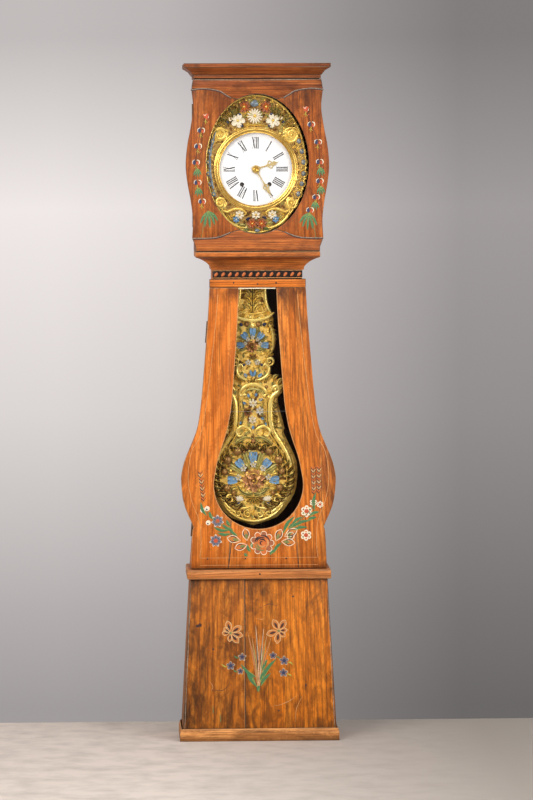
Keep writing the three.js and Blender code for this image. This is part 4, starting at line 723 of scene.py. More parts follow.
def buildSurround():
    art, at = Relief(surround["faceY"], surround["depth"]), dialPoint
    centre = surround["centre"]
    wide, high = [half - surround["margin"] for half in surround["half"]]

    def inside(x, z):
        inOval = ((x - centre[0]) / wide) ** 2 + ((z - centre[1]) / high) ** 2 < 1
        return inOval and math.dist((x, z), dial["centre"]) > surround["bezelRadius"]

    leafwork(art, surround["area"], inside, [dial["centre"]], **surround["ground"])
    art.sweep([aroundOval(d, 4.5) for d in range(0, 361, 5)], [6.5, 6.5], 3.4, "gilt", "round", 144)
    # bands down the sides: slate stones between beads on the left, framed stones on the right
    for first, last, widths, height, paint in surround["bands"]:
        art.sweep([aroundOval(d, 17) for d in range(first, last + 1, 6)], widths, height, paint, "round", 40)
    stones = surround["stones"]
    for x, z in stones:
        art.dome(at(x, z), (12, 14), 3.8, "giltDark", 16)
        art.sweep([polar(at(x, z), 11.8, a) for a in range(0, 361, 30)], [3.6, 3.6], 4.6, "gilt", "round", 24)
        art.dome(at(x, z), (8.2, 9.6), 6.0, "slate", 14)
        # painted highlight: a gold speck up and to the left on each slate stone of the right side
        art.dome(at(x - 1.5, z + 1), 2.6, 7.0, "gilt", 8, 3)
        art.dome(at(-x, z), (8, 9), 4.6, "slate", 14)
        art.dome(at(-x, z), (4.2, 4.6), 6.0, "gilt", 10, 3)
    for sign, innerPaint in ((-1, "giltDark"), (1, "gilt")):
        on, side = mirrored(at, sign)
        for (x0, z0), (x1, z1) in zip(stones, stones[1:]):
            x, z = (x0 + x1) / 2, (z0 + z1) / 2
            art.dome(on(x + 9, z), 4.0, 5.2, "gilt", 10, 3)
            art.dome(on(x - 7, z), 3.4, 5.2, innerPaint, 10, 3)
        # large volutes over and under the dial
        for up, radius in ((1, 25), (-1, 19)):
            hub = on(116, up * 110)
            start = side(200 if sign == up else -20)
            art.dome(hub, radius + 3, 2.6, "gilt", 20, 3)
            art.sweep(spiral(hub, radius, 5, start, 1.25 * sign * up), [4, 11, 12, 9, 6], 6.0, "gilt", "round", 30)
            art.dome(hub, 5.4, 6.4, "gilt", 12)
        # feathered sprays that fan out to the rim above the volutes
        for k in range(10):
            base = on(96 - 4.6 * k, 130 + 6.1 * k)
            tip = polar(base, 50 - 1.9 * k, side(12 + 10.5 * k))
            art.leaf(base, tip, 7.6, ("giltPlain", "gilt", "giltGreen")[k % 3], 7.4, 0.16 * sign, steps=10)
        pressStrokes(art, on, surround["strokes"])
        pressDomes(art, on, [(surround["beads"], 4.6, 5.6, "gilt", 10, 3)])
        pressLeaves(art, on, surround["leaves"])
        # roses and lilies of the crest, and the posy at the foot
        flower(art, on(35.5 - sign, 202), (5.4, 7.4, "gilt", 10),
               (20, 8, "rose", 5.8, 10, 1.15), (12.5, 6, "orange", 6.6, 40))
        flower(art, on(57, 157), (4.6, 7.2, "gilt", 8), (23, 5, "cream", 6.0, 90 + sign * 20, 1.1))
        flower(art, on(53, -147), (4.0, 7.4, "gilt", 8), (14.5, 7, "cream", 6.2, 90, 1.1))
        flower(art, on(64, -162), (3.0, 7.2, "cream", 8), (11, 6, "blue", 6.0, 90, 1.1))
        flower(art, on(15 + 3 * sign, -176), (4.2, 7.6, "gilt", 10),
               (17, 7, "rose", 6.0, 20, 1.15), (10.5, 5, "orange", 6.8, 60))
    flower(art, at(-2, 172), (6.4, 7.0, "gilt", 12), (25, 15, "cream", 5.4, 90, 1.1, "round"))
    flower(art, at(0, -148), (4.0, 7.4, "gilt", 8), (14, 6, "cream", 6.2, 90, 1.1))
    pressStrokes(art, at, [([(-44, 138), (0, 144), (44, 138)], [4, 9, 4], 4.0, "gilt", "leaf", 14)])
    pressDomes(art, at, surround["slates"])
    art.finish("surroundOrnament", "root", "gilt_brass")


buildSurround()
print("dial surround pressed")


# pressed brass pendulum front: places are from its centre line and up from its foot

pendulum = dict(
    axisX=-15.0, foot=697.0, faceY=-27.3, edgeY=-21.3, depth=6.0, margin=5, hearts=(588, 377, 148, 800),
    ground=dict(count=14000, spacing=13.0, seed=33, lengths=(15, 25), height=5.0,
                leafPaints=["gilt", "gilt", "gilt", "giltPlain", "giltDark", "giltGreen"]),
    strokes=[
        # lyre arm: from its curl, in to the waist, and round the bulb as its rim
        ([(58, 436), (68, 452), (82, 452), (82, 436), (66, 422), (58, 395), (58, 345), (68, 304), (92, 266), (114, 224),
          (124, 180), (122, 134), (108, 96), (86, 64), (58, 42)],
         [6, 14, 18, 20, 21, 22, 22, 20, 19, 18, 18, 18, 17, 14, 9], 9.0, "bright", "round", 80),
        ([(46, 424), (44, 395), (44, 345), (54, 300), (78, 258), (100, 218), (109, 180), (107, 138), (94, 104)],
         [4, 6, 6, 6, 6, 7, 7, 6, 4], 8.5, "gilt", "round", 60),
        # scrolls over the bulb
        ([(3, 292), (12, 314), (36, 324), (54, 310), (48, 292), (36, 296), (38, 304)],
         [4, 11, 13, 12, 9, 6, 4], 9.0, "giltPlain", "round", 34),
        ([(6, 286), (28, 286), (50, 274), (62, 258)], [4, 13, 13, 5], 6.0, "giltGreen", "leaf", 16),
        # moustache and foot
        ([(8, 62), (30, 56), (56, 58), (82, 74), (102, 104)], [4, 10, 11, 9, 4], 7.0, "bright", "round", 22),
        ([(2, 104), (22, 102), (40, 112), (50, 128)], [10, 13, 11, 4], 8.0, "giltGreen", "leaf", 16),
        ([(0, 13), (26, 17), (52, 27), (78, 45), (98, 70)], [9, 11, 11, 10, 6], 7.5, "bright", "round", 24),
        # arch over the lyre, and the scrolls above it
        ([(0, 461), (22, 456), (38, 444), (44, 430), (34, 424), (30, 434)],
         [15, 15, 13, 10, 7, 4], 9.0, "giltPlain", "round", 28),
        ([(0, 446), (18, 442), (28, 432)], [7, 7, 3], 7.0, "giltGreen", "round", 12),
        ([(36, 410), (30, 380), (34, 346), (40, 322)], [4, 8, 8, 3], 5.0, "giltGreen", "leaf", 18),
        ([(6, 474), (28, 478), (48, 492), (52, 514), (40, 526), (32, 516), (38, 508)],
         [5, 11, 13, 12, 9, 6, 4], 8.5, "giltPlain", "round", 32),
        # rim of the medallion, and the collar and edges of the neck
        ([(46, 548), (62, 572), (67, 604), (62, 640), (46, 668)], [5, 13, 16, 14, 6], 8.5, "bright", "round", 26),
        ([(0, 668), (28, 672), (52, 680), (70, 694)], [13, 14, 13, 6], 9.0, "giltPlain", "round", 18),
        ([(0, 690), (26, 693), (46, 700)], [8, 9, 5], 7.0, "gilt", "round", 12),
        ([(62, 690), (50, 710), (43, 736), (41, 776), (44, 814), (49, 850), (44, 886)],
         [8, 12, 12, 11, 11, 11, 6], 8.0, "bright", "round", 44)],
    domes=[([(74, 444)], 9, 12.0, "giltPlain", 14), ([(47, 72)], (7, 5), 8.0, "navy", 10, 3),
           ([(29, 524)], 5, 8.0, "navy", 8, 3), ([(38, 655)], 6.5, 8.0, "navy", 10),
           ([(19, 656)], 9, 9.0, "giltDark", 12),
           ([(20, 37), (50, 41), (79, 56)], 3.2, 9.0, "giltPlain", 8, 3)],
    # middles and outer radii, then inner radius, start, turns, widths, height and steps
    scrolls=[([(76, 86, 18)], 3, 180, -1.4, [4, 9, 10, 7, 4], 8.0, 30),
             ([(55, 536, 15)], 3, 250, 1.3, [4, 10, 10, 7, 4], 8.0, 28),
             ([(20, 37, 13), (50, 41, 13), (79, 56, 10)], 2.5, 90, -1.3, [4, 8, 8, 6, 4], 7.5, 28)],
    bosses=[(52, 243, 15), (84, 214, 15), (94, 176, 12), (86, 122, 12), (64, 106, 9)],
    rays=[(72, 96, 20), (32, 92, 20), (14, 82, 14), (-14, 80, 16)],
    lyreFlowers=[(0, 399, 14, "cream"), (22, 374, 13, "white"), (-2, 345, 13, "cream")],
    lyreLeaves=[(9, 420, 80), (20, 408, 30), (-22, 396, 150), (-38, 338, 210), (38, 334, -30), (-12, 418, 110),
                (0, 326, -90), (26, 350, -20)],
)


def pendulumPoint(x, up):
    return (pendulum["axisX"] + x, pendulum["foot"] + up)


def fan(art, centre, turn, inner, outer, width):
    # a petal that widens outwards, with a notch in its end
    for side in (-1, 1):
        spread = side * width * 0.23 / outer
        path = arc(centre, (inner, turn + math.degrees(spread * 0.6)), (outer, turn + math.degrees(spread)))
        art.sweep(path, [width * 0.3, width * 0.5, width * 0.56, width * 0.36], 7.5, "blue", "petal", 6)


def smallFlower(art, centre, radius):
    flower(art, centre, (radius * 0.3, 10.0, "giltPlain", 8, 3), (radius, 5, "white", 8.5))


def rose(art, centre, radius):
    # rings of cupped petals that close towards the heart, with gold on their lips
    for k in range(4):
        path = [polar(centre, radius * (0.62 - 0.15 * k), a) for a in range(125 * k, 125 * k + 190, 20)]
        widths = [radius * 0.07, radius * 0.17, radius * 0.07]
        art.sweep(path, widths, 10.0 + 0.8 * k, ("gilt", "copper")[k % 2], "round", 16)
    flower(art, centre, (radius * 0.15, 13.0, "gilt", 10),
           (radius, 7, "copper", 6.5, 20, 1.2), (radius * 0.72, 5, "copper", 9.0, 50, 1.2))


def pressBulb(art, on, side, sign, bright):
    # leaves that overlap along the outside of the lyre arm and the rim
    for k in range(9):
        up = 412 - 13 * k
        tip = on(79 + 0.0008 * (up - 350) ** 2, up - 16)
        art.leaf(on(62, up), tip, 13, bright, 11.0, -0.2 * sign)
    for k in range(17):
        (x0, z0), (x1, z1) = arc((0, 0), (1, -70 + 11.5 * k), (1, -61 + 11.5 * k))
        x0, z0, x1, z1 = 106 * x0, 160 + 90 * z0, 138 * x1, 162 + 114 * z1
        tips = on(min(x1, 135), z1 - 6), on(min(x1, 136), z1)
        art.leaf(on(x0 * 0.98, z0 - 5), tips[0], 17, "giltDark", 11.0, -0.14 * sign)
        art.leaf(on(x0, z0), tips[1], 11.5, ("giltPlain", "gilt")[k % 2], 14.0, -0.14 * sign)
        if k % 3 == 1:
            # painted shade: these beads are dark on the left half and bright on the right
            art.dome(on(x0 * 1.06, z0 + 4), 5, 13.0, "giltDark" if sign < 0 else "giltPlain", 10, 3)
    # bosses among leaves
    for x, up, radius in pendulum["bosses"]:
        hub = on(x, up)
        for k in range(7):
            turn = 51 * k + 20
            ends = arc(hub, (radius * 0.7, turn), (radius * 1.5, turn))
            art.leaf(*ends, radius * 0.7, ("giltGreen", "gilt")[k % 2], 6.0)
        art.dome(hub, radius * 1.08, 13.0, "giltDark", 16, 6)
        # painted highlight: a gold speck up and to the left on each dark boss, on both halves
        art.dome(on(x - 3 * sign, up + 3), radius * 0.24, 14.2, "gilt", 8, 3)
    # sunburst of fluted rays with blue petals and white flowers between them
    heart = on(0, 148)
    for turn, reach, width in pendulum["rays"]:
        tip = polar(heart, reach, side(turn))
        widths = [width * 0.35, width * 0.7, width, width * 0.8]
        art.sweep([polar(heart, 36, side(turn)), tip], widths, 6.5, "giltGreen" if reach > 90 else "gilt", "leaf", 8)
        art.dome(tip, width * 0.34, 9.0, "giltDark", 10, 3)
    for turn in (51, 0):
        fan(art, heart, side(turn), 52, 84, 32)
    for turn in (50, 10):
        smallFlower(art, polar(heart, 50, side(turn)), 10.5)
    # shells at the foot
    for k in range(7):
        shell = on(47, 80)
        art.leaf(shell, polar(shell, 19, side(160 - 22 * k)), 8, "cream", 8.0, 0.0, "round")


def pressCrest(art, on, side, sign, bright):
    # leaves over the lyre's curls and its arch
    curls = [(x - 18, up - 12, x, up + 6) for x, up in [(104, 452), (100, 472), (84, 484), (64, 484)]]
    pressLeaves(art, on, [
        (curls, 15, bright, 8.0, 0.2 * sign),
        ([(4 + 11 * k, 468 - k, 9 + 12 * k, 482 - 1.5 * k) for k in range(4)], 10, "gilt", 8.0, 0.15 * sign),
        ([(17, 484, 30, 496)], 11, "blue", 7.0, 0.0, "petal"), ([(2, 486, 9, 508)], 10, "blue", 7.0, 0.0, "petal")])
    smallFlower(art, on(15, 532), 9)
    # medallion: leaves on its rim, rays and petals
    heart = on(0, 588)
    for k in range(8):
        x, up = 56 + 13 * math.sin(math.pi * k / 7), 552 + 15 * k
        art.leaf(on(x - 8, up - 6), on(x + 9, up + 10), 13, "gilt", 9.5, 0.2 * sign)
    for turn, reach in [(72, 58), (30, 56), (-24, 50)]:
        art.sweep(arc(heart, (20, side(turn)), (reach, side(turn))), [5, 11, 8], 6.0, "giltGreen", "leaf", 7)
    for turn in (50, 0):
        fan(art, heart, side(turn), 26, 52, 25)
    for turn in (16, 52):
        smallFlower(art, polar(on(0, 586), 26, side(turn)), 7)
    # leaves that climb the neck
    for k in range(9):
        up = 700 + 22 * k
        art.leaf(on(5, up), on(35, up + 20), 18, ("giltPlain", "gilt")[k % 2], 8.5, 0.24 * sign)
        art.dome(on(22, up + 22), 4.2, 7.0, ("giltPlain", "giltDark")[k % 2], 8, 3)


def buildPendulum():
    art, at = Relief(pendulum["faceY"], pendulum["depth"]), pendulumPoint
    rim = frontEdges("pendulum_face", pendulum["edgeY"]) or frontEdges("pendulum_face", pendulum["faceY"])
    (lowX, _, lowZ), (highX, _, highZ) = [[c / mm for c in corner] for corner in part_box("pendulum_face")]
    heights = np.arange(lowZ + 3, highZ - 2, 4.0)
    halfAt = [max([abs(x - pendulum["axisX"]) for x in crossings(rim, z)] or [0]) for z in heights]
    print("pendulum outline rows:", len(heights), "widest", round(max(halfAt), 1))

    def inside(x, z):
        return abs(x - pendulum["axisX"]) < np.interp(z, heights, halfAt) - pendulum["margin"]

    hearts = [at(0, up) for up in pendulum["hearts"]]
    leafwork(art, (lowX, highX, lowZ, highZ), inside, hearts, **pendulum["ground"])
    # painted light: the right half takes the brighter gold and the left half the deeper gold, the right lit and the
    # left in shade
    for sign, bright in ((-1, "gilt"), (1, "giltPlain")):
        on, side = mirrored(at, sign)
        pressStrokes(art, on, pendulum["strokes"], bright)
        pressDomes(art, on, pendulum["domes"])
        for middles, inner, start, turns, widths, height, steps in pendulum["scrolls"]:
            for x, up, outer in middles:
                path = spiral(on(x, up), outer, inner, side(start), turns * sign)
                art.sweep(path, widths, height, bright, "round", steps)
        pressBulb(art, on, side, sign, bright)
        pressCrest(art, on, side, sign, bright)
    pressLeaves(art, at, [([(0, 694 + 22 * k, 0, 722 + 22 * k) for k in range(9)], 15, "giltPlain", 10.0)])
    pressDomes(art, at, [([(0, 652)], (9, 11), 9.0, "giltPlain", 14),
                         ([(-8, 262), (8, 262), (0, 275)], 7.5, 10.0, "copper", 14)])
    fan(art, at(0, 588), 90, 28, 56, 25)
    fan(art, at(0, 148), 90, 56, 92, 32)
    smallFlower(art, at(0, 199), 10.5)
    smallFlower(art, at(0, 614), 7)
    for x, up, radius in [(-3, 584, 20), (0, 146, 38), (-17, 371, 15)]:
        rose(art, at(x, up), radius)
    # flowers in the lyre and the palmettes
    for x, up, radius, paint in pendulum["lyreFlowers"]:
        flower(art, at(x, up), (radius * 0.24, 10.8, "giltPlain", 10, 3), (radius, 6, paint, 8.0))
    for x, up, turn in pendulum["lyreLeaves"]:
        art.leaf(at(x, up), polar(at(x, up), 13, turn), 10, "blue", 8.0, 0.0, "petal")
    for k in range(7):
        art.leaf(at(0, 92), polar(at(0, 92), 27, 180 + 30 * k), 12, ("giltPlain", "gilt")[k % 2], 9.0)
    for k in range(5):
        art.leaf(at(0, 542), polar(at(0, 542), 20, 30 + 30 * k), 10, ("gilt", "copper")[k % 2], 8.0)
    art.finish("pendulumOrnament", "pendulum", "gilt_brass")


buildPendulum()
print("pendulum pressed")


# folk painting on the wood: thin flat strokes, of which higher ones cover lower ones

def blot(art, centre, radii, paint, height=0.28, sides=12):
    art.dome(centre, radii, height, paint, sides, 1)


def paintedLeaf(art, base, tip, width, paint="green", bend=0.1):
    art.leaf(base, tip, width, paint, 0.3, bend, "flat")


def vein(art, base, tip, width):
    # a lime line along the first half of a leaf
    art.stroke([base, ((base[0] + tip[0]) / 2, (base[1] + tip[1]) / 2)], [0.8, width], "lime", 3, 0.42)


def paintedFlower(art, centre, radius, petals, edge, heart):
    for k in range(petals):
        blot(art, polar(centre, radius * 0.66, 90 + 360 * k / petals), radius * 0.36, edge, sides=10)
    blot(art, centre, radius * 0.42, heart, 0.42, 10)


def outlinedPetal(art, base, tip, width, fill, edge, heart=None):
    base, tip = np.array(base, float), np.array(tip, float)
    along = tip - base
    side = np.array([-along[1], along[0]]) / (np.hypot(*along) or 1) * width
    art.stroke([base, (base + tip) / 2, tip], [width * share for share in (0.3, 0.85, 1, 0.7, 0.1)], fill, 8, 0.22)
    for sign in (-1, 1):
        path = [base, base + along * 0.35 + side * sign * 0.42, base + along * 0.72 + side * sign * 0.44, tip]
        art.stroke(path, [1.2, 2.2, 2.4, 1.6], edge, height=0.38)
    if heart:
        art.leaf(base + along * 0.15, base + along * 0.62, width * 0.5, heart, 0.36, 0.0, "flat", 6)


def budPair(art, x, z, dark):
    # a dark bud with a white lip beside a red one with a cream lip, or red berries, on a yellow-green stem
    if dark:
        blot(art, (x - 5.5, z + 1), (4.8, 8.2), "navy")
        art.stroke([(x - 3, z + 10), (x - 10, z + 5), (x - 11, z - 4)], [1.0, 2.6, 1.0], "white", 8, 0.4)
        blot(art, (x + 4.5, z - 2), (3.6, 5.0), "red", sides=10)
        lip = [(x + 2, z + 9), (x + 9, z + 7), (x + 11.5, z), (x + 8, z - 7)]
        art.stroke(lip, [1.0, 3.4, 3.0, 1.0], "cream", 10, 0.4)
        art.stroke([(x + 7, z + 4), (x + 8, z - 2)], [1.6, 1.4], "red", 3, 0.44)
    else:
        for dx, dz, radius in ((0, 0, 6.4), (5, 6, 4.0), (-5, 4, 3.8), (2, -6, 3.6)):
            blot(art, (x + dx, z + dz), radius, "red")
        art.stroke([(x - 8, z + 8), (x - 3, z + 4), (x + 2, z + 10)], [1.0, 2.2, 1.0], "cream", 8, 0.4)
        art.stroke([(x + 9, z + 3), (x + 8, z - 4)], [1.0, 1.8], "cream", 4, 0.4)
    art.stroke([(x, z - 6), (x - 1.5, z - 24)], [2.4, 1.2], "lime", 4)
    art.stroke([(x - 1, z - 12), (x - 8, z - 18)], [1.6, 1.0], "lime", 3)
    art.stroke([(x - 1, z - 14), (x + 6, z - 20)], [1.6, 1.0], "lime", 3)
    blot(art, (x + 9, z - 16), 1.8, "red", 0.3, 8)


def droop(art, top, count, reach, width, first, last):
    # long leaves that hang from one point and spread from a first to a last direction
    for k in range(count):
        turn = first + (last - first) * k / (count - 1)
        length = reach * (1 - 0.3 * abs(turn - 270) / 60)
        middle = polar(top, length * 0.5, 270 + (turn - 270) * 1.25)
        widths = [width * share for share in (0.3, 0.85, 1, 0.9, 0.35)]
        art.stroke([top, middle, polar(top, length, turn)], widths, "green", 8)
        art.stroke([top, middle], [0.7, 0.9], "lime", 3, 0.42)


# paint, width, how far it lies above the joint, and height
jointWear = (("brown", 5.0, -2.0, 0.22), ("worn", 2.8, 0.0, 0.3), ("worn", 0.9, 1.2, 0.3))


def wornJoint(art, node, frontY, keep):
    # polish has worn off along the joint that this node's curved edge makes
    points = sorted({(round(x, 1), round(z, 1)) for pair in frontEdges(node, frontY) for x, z in pair})
    for sign in (-1, 1):
        path = [p for p in points if p[0] * sign > 4 and keep(*p)]
        for paint, width, lift, height in jointWear:
            widths = [width * share for share in (0.6, 1.1, 0.7, 1.2, 0.5)]
            art.stroke([(x, z + lift) for x, z in path], widths, paint, max(24, len(path)), height)


# each side's stem of buds, then the places of its leaves, and its lowest cluster with its first direction
hoodPaint = dict(frontY=-125.0, sides={
    -1: ([(166, 2028), (182, 1983), (192, 1932), (199, 1880), (194, 1815), (180, 1754)], [(195, 1862), (191, 1800)],
         (160, 1724), 238),
    1: ([(157, 2050), (174, 2001), (196, 1944), (201, 1880), (201, 1818), (189, 1766), (169, 1724)],
        [(204, 1864), (204, 1803), (185, 1754)], (166, 1716), 226)})


def buildHoodPaint():
    frontY = hoodPaint["frontY"]
    art = Relief(frontY)
    for sign, (buds, leaves, (cx, cz), first) in hoodPaint["sides"].items():
        art.stroke([(sign * (x + 1), z) for x, z in buds], [1.2, 1.5, 1.2], "brown", 40)
        for number, (x, z) in enumerate(buds):
            budPair(art, sign * x, z, number > 0)
        for x, z in leaves:
            droop(art, (sign * x, z), 4, 30, 5.6, 244, 300)
        droop(art, (sign * cx, cz), 5, 56, 7.6, first, first + 76)
        trail = [(sign * cx, cz), (sign * (cx + 13), cz - 34), (sign * (cx + 23), cz - 88)]
        art.stroke(trail, [2.2, 1.8, 1.2], "green")
    art.stroke([(-208, 2147.5), (0, 2146), (208, 2147.5)], [1.2, 2.6, 1.6, 2.8, 1.2], "worn", 40)
    wornJoint(art, "hood_door_rail_top", frontY, lambda x, z: 78 < abs(x) < 226 and z < 2122)
    wornJoint(art, "hood_door_rail_bottom", frontY, lambda x, z: 72 < abs(x) < 226 and z > 1632)
    art.finish("hoodGarlands", "hood_door", "red_pine")


trunkPaint = dict(
    frontY=-82.3, roseAt=(11, 643.5),
    # folds of the rose as radius, first and last direction
    folds=[(25, 10, 100), (24, 190, 290), (23, 110, 170), (19, 300, 400), (18, 60, 170), (17, 180, 260), (12, 20, 140),
           (12, 200, 330), (6, 60, 260)],
    # petals beside the rose as place, direction and length
    petals=[(-38, 652, 100, 40), (-60, 652, 168, 44), (-38, 638, 196, 42), (56, 650, 66, 42), (84, 664, 30, 48),
            (74, 648, -6, 44), (96, 652, 62, 30)],
    duskFlowers=[(-134, 716), (-140, 652)], buds=[(-182, 752), (-167, 757), (-164, 711)],
    creamFlowers=[(156, 746, 19), (178, 774, 12), (200, 768, 11), (154, 668, 18)],
    leaves=[(-98, 686, -146, 696), (-93, 674, -134, 678), (-84, 686, -118, 706), (-70, 668, -98, 698),
            (-170, 735, -188, 778), (-148, 722, -160, 748), (-92, 700, -104, 720), (80, 676, 117, 730),
            (110, 694, 168, 716), (112, 684, 158, 694), (182, 750, 186, 806), (164, 730, 198, 744),
            (108, 700, 142, 728), (160, 716, 188, 726), (96, 690, 124, 706), (-27, 616, -38, 638),
            (-37, 602, -47, 611), (-20, 630, -24, 644), (49, 612, 74, 644), (36, 605, 58, 622)],
    stems=[[(-92, 682), (-124, 704), (-148, 726), (-172, 750)], [(104, 690), (136, 718), (162, 742), (186, 772)]],
    wheat=[((-178, 779), (-190, 876)), ((180, 800), (178, 886)), ((196, 803), (197, 888))],
    doorEdge=[(129, 1452), (136, 1370), (148, 1258), (161, 1150), (174, 1060), (190, 990), (214, 950), (226, 896),
              (228, 842), (216, 778), (192, 712), (188, 640), (192, 598)],
)


def paintRose(art, centre):
    # an orange ground, a scalloped cream rim and dark folds
    blot(art, centre, (31, 29), "orange", 0.2, 26)
    for k in range(9):
        turn = 40 * k
        blot(art, polar(centre, 27, turn), 10.5, ("rose", "orange")[k % 2], 0.24)
        rim = arc(centre, (28, turn - 20), (36, turn - 12), (38.5, turn), (36, turn + 12), (28, turn + 20))
        art.stroke(rim, [1.4, 2.4, 1.4], "cream", height=0.4)
    for k, (radius, first, last) in enumerate(trunkPaint["folds"]):
        path = [polar(centre, radius, turn) for turn in np.linspace(first, last, 6)]
        art.stroke(path, [1.8, 6.4, 1.8], ("brown", "olive", "crack", "string")[k % 4], 14, 0.42)


def paintWheat(art, foot, head):
    foot, head = np.array(foot, float), np.array(head, float)
    art.stroke([foot, head], [1.4, 1.2], "brown", 4)
    for k in range(9):
        spot = foot + (head - foot) * (k + 0.5) / 9
        for sign in (-1, 1):
            paintedLeaf(art, spot + (0, -2), spot + (sign * 8.0, 8), 3.6, "brown")
            art.leaf(spot, spot + (sign * 7.0, 12), 3.4, ("orange", "straw")[k % 2], 0.42, 0.0, "flat", 5)


def paintEdges(art):
    # pale line along the window's chamfered edge
    for node, pick, sign in (("trunk_door_board_left", max, -1), ("trunk_door_board_right", min, 1)):
        rows = [(z, crossings(frontEdges(node, trunkPaint["frontY"]), z)) for z in np.arange(846.3, 1470, 12)]
        art.stroke([(pick(xs) + sign * 1.2, z) for z, xs in rows if xs], [2.0, 2.2], "string", 110, 0.26)
    art.stroke([polar((0, 834), 146.4, a) for a in range(6, -187, -6)], [1.8, 2.2, 1.8], "string", 64, 0.26)
    # pale stringing that follows the door's edge, and the two lines across its foot
    for sign in (-1, 1):
        art.stroke([(sign * x, z) for x, z in trunkPaint["doorEdge"]], [1.8, 1.8], "string", 70, 0.2)
    for z in (596, 572):
        art.stroke([(-192, z), (192, z)], [1.4, 1.4], "string", 4, 0.2)
    # open joints and splits between the boards
    art.stroke([(-86.8, 692), (-90, 640), (-98, 566)], [2.4, 3.2, 2.0], "crack", 12, 0.14)
    art.stroke([(117, 700), (121, 640), (129, 566)], [1.2, 1.4, 1.6], "crack", 12, 0.14)


def buildTrunkPaint():
    art = Relief(trunkPaint["frontY"])
    paintRose(art, trunkPaint["roseAt"])
    for x, z, turn, length in trunkPaint["petals"]:
        spot = (x, z)
        outlinedPetal(art, spot, polar(spot, length, turn), 23, "amber" if z > 645 else "orange", "cream", "olive")
        for bend in (-0.24, 0.24):
            ends = arc(spot, (length * 0.3, turn + bend * 60), (length * 0.82, turn + bend * 30))
            art.leaf(*ends, 4.0, "brown", 0.4, bend, "flat", 6)
    for spot in trunkPaint["duskFlowers"]:
        paintedFlower(art, spot, 18, 7, "dusk", "red")
        for k in range(7):
            turn = 90 + 360 * k / 7
            art.stroke(arc(spot, (15, turn - 14), (20, turn), (15, turn + 14)), [1.2, 2.4, 1.2], "white", 6, 0.4)
            art.stroke(arc(spot, (8, turn), (13, turn)), [1.6, 2.6], "navy", 3, 0.42)
    for spot in trunkPaint["buds"]:
        blot(art, spot, 8.2, "cream")
        blot(art, polar(spot, 2.05, 240), (4.1, 5.084), "navy", 0.4, 10)
    for x, z, radius in trunkPaint["creamFlowers"]:
        paintedFlower(art, (x, z), radius, 6, "cream", "red")
        for k in range(6):
            paint = ("orange", "rose", "olive")[k % 3]
            blot(art, polar((x, z), radius * 0.64, 90 + 60 * k), radius * 0.25, paint, 0.42, 8)
        blot(art, (x, z), radius * 0.2, "brown", 0.5, 8)
    for x0, z0, x1, z1 in trunkPaint["leaves"]:
        paintedLeaf(art, (x0, z0), (x1, z1), 10.5)
        vein(art, (x0, z0), (x1, z1), 1.4)
    for path in trunkPaint["stems"]:
        art.stroke(path, [1.6, 2.2, 1.6], "green", 16)
    for ends in trunkPaint["wheat"]:
        paintWheat(art, *ends)
    paintEdges(art)
    art.finish("trunkPosy", "trunk_door", "pine")


plinthPaint = dict(
    frontY=-97.0, foot=(-4, 166),
    blades=[((-38, 356), "rose"), ((-24, 340), "olive"), ((-12, 378), "brown"), ((2, 350), "rose"),
            ((14, 366), "brown"), ((26, 352), "olive"), ((38, 336), "rose")],
    stars=[((-94, 352), (104, 32, -12, -50, -96, 178, 140)), ((63, 358), (116, 58, 196, 262, 318, 8))],
    leaves=[((-8, 176), (-42, 232)), ((-14, 188), (-30, 222)), ((4, 180), (36, 220)), ((12, 206), (54, 266)),
            ((10, 222), (26, 266)), ((-12, 208), (-60, 250)), ((-4, 160), (0, 184)), ((2, 190), (22, 236))],
    flowers=[(-56, 274, 13), (-94, 246, 14), (-62, 228, 11), (80, 261, 15), (78, 222, 14), (44, 278, 12)],
    knots=[(-200, 376, 7, 5), (-193, 379, 6, 6), (62, 98, 3, 3), (-150, 300, 4, 3), (150, 180, 3, 5), (110, 470, 3, 3)],
    scratches=[([(36, 112), (70, 118), (104, 134), (126, 152)], "string"),
               ([(116, 62), (118, 96), (126, 120), (140, 146)], "string"),
               ([(-160, 168), (-120, 166), (-96, 190)], "crack"),
               ([(-158, 164), (-152, 178), (-162, 196)], "string"), ([(-10, 400), (8, 396), (20, 402)], "string"),
               ([(-2, 430), (30, 446), (60, 440)], "brown")],
    dashes=[(-152, 116), (-128, 88)],
)


def paintStar(art, centre, turns):
    for k, turn in enumerate(turns):
        length, width = (42, 20) if k < 4 else (28, 15)
        outlinedPetal(art, *arc(centre, (4, turn), (length, turn)), width, "amber", "straw")
        heart = arc(centre, (length * 0.25, turn), (length * 0.78, turn))
        art.leaf(*heart, width * 0.46, "brown", 0.36, 0.0, "flat", 6)
        art.stroke(arc(centre, (length * 0.7, turn), (length * 0.94, turn)), [0.8, 1.6], "string", 3, 0.42)
    blot(art, centre, 4.6, "olive", 0.5, 8)
    blot(art, polar(centre, 7, 30), 2.6, "lime", 0.5, 8)


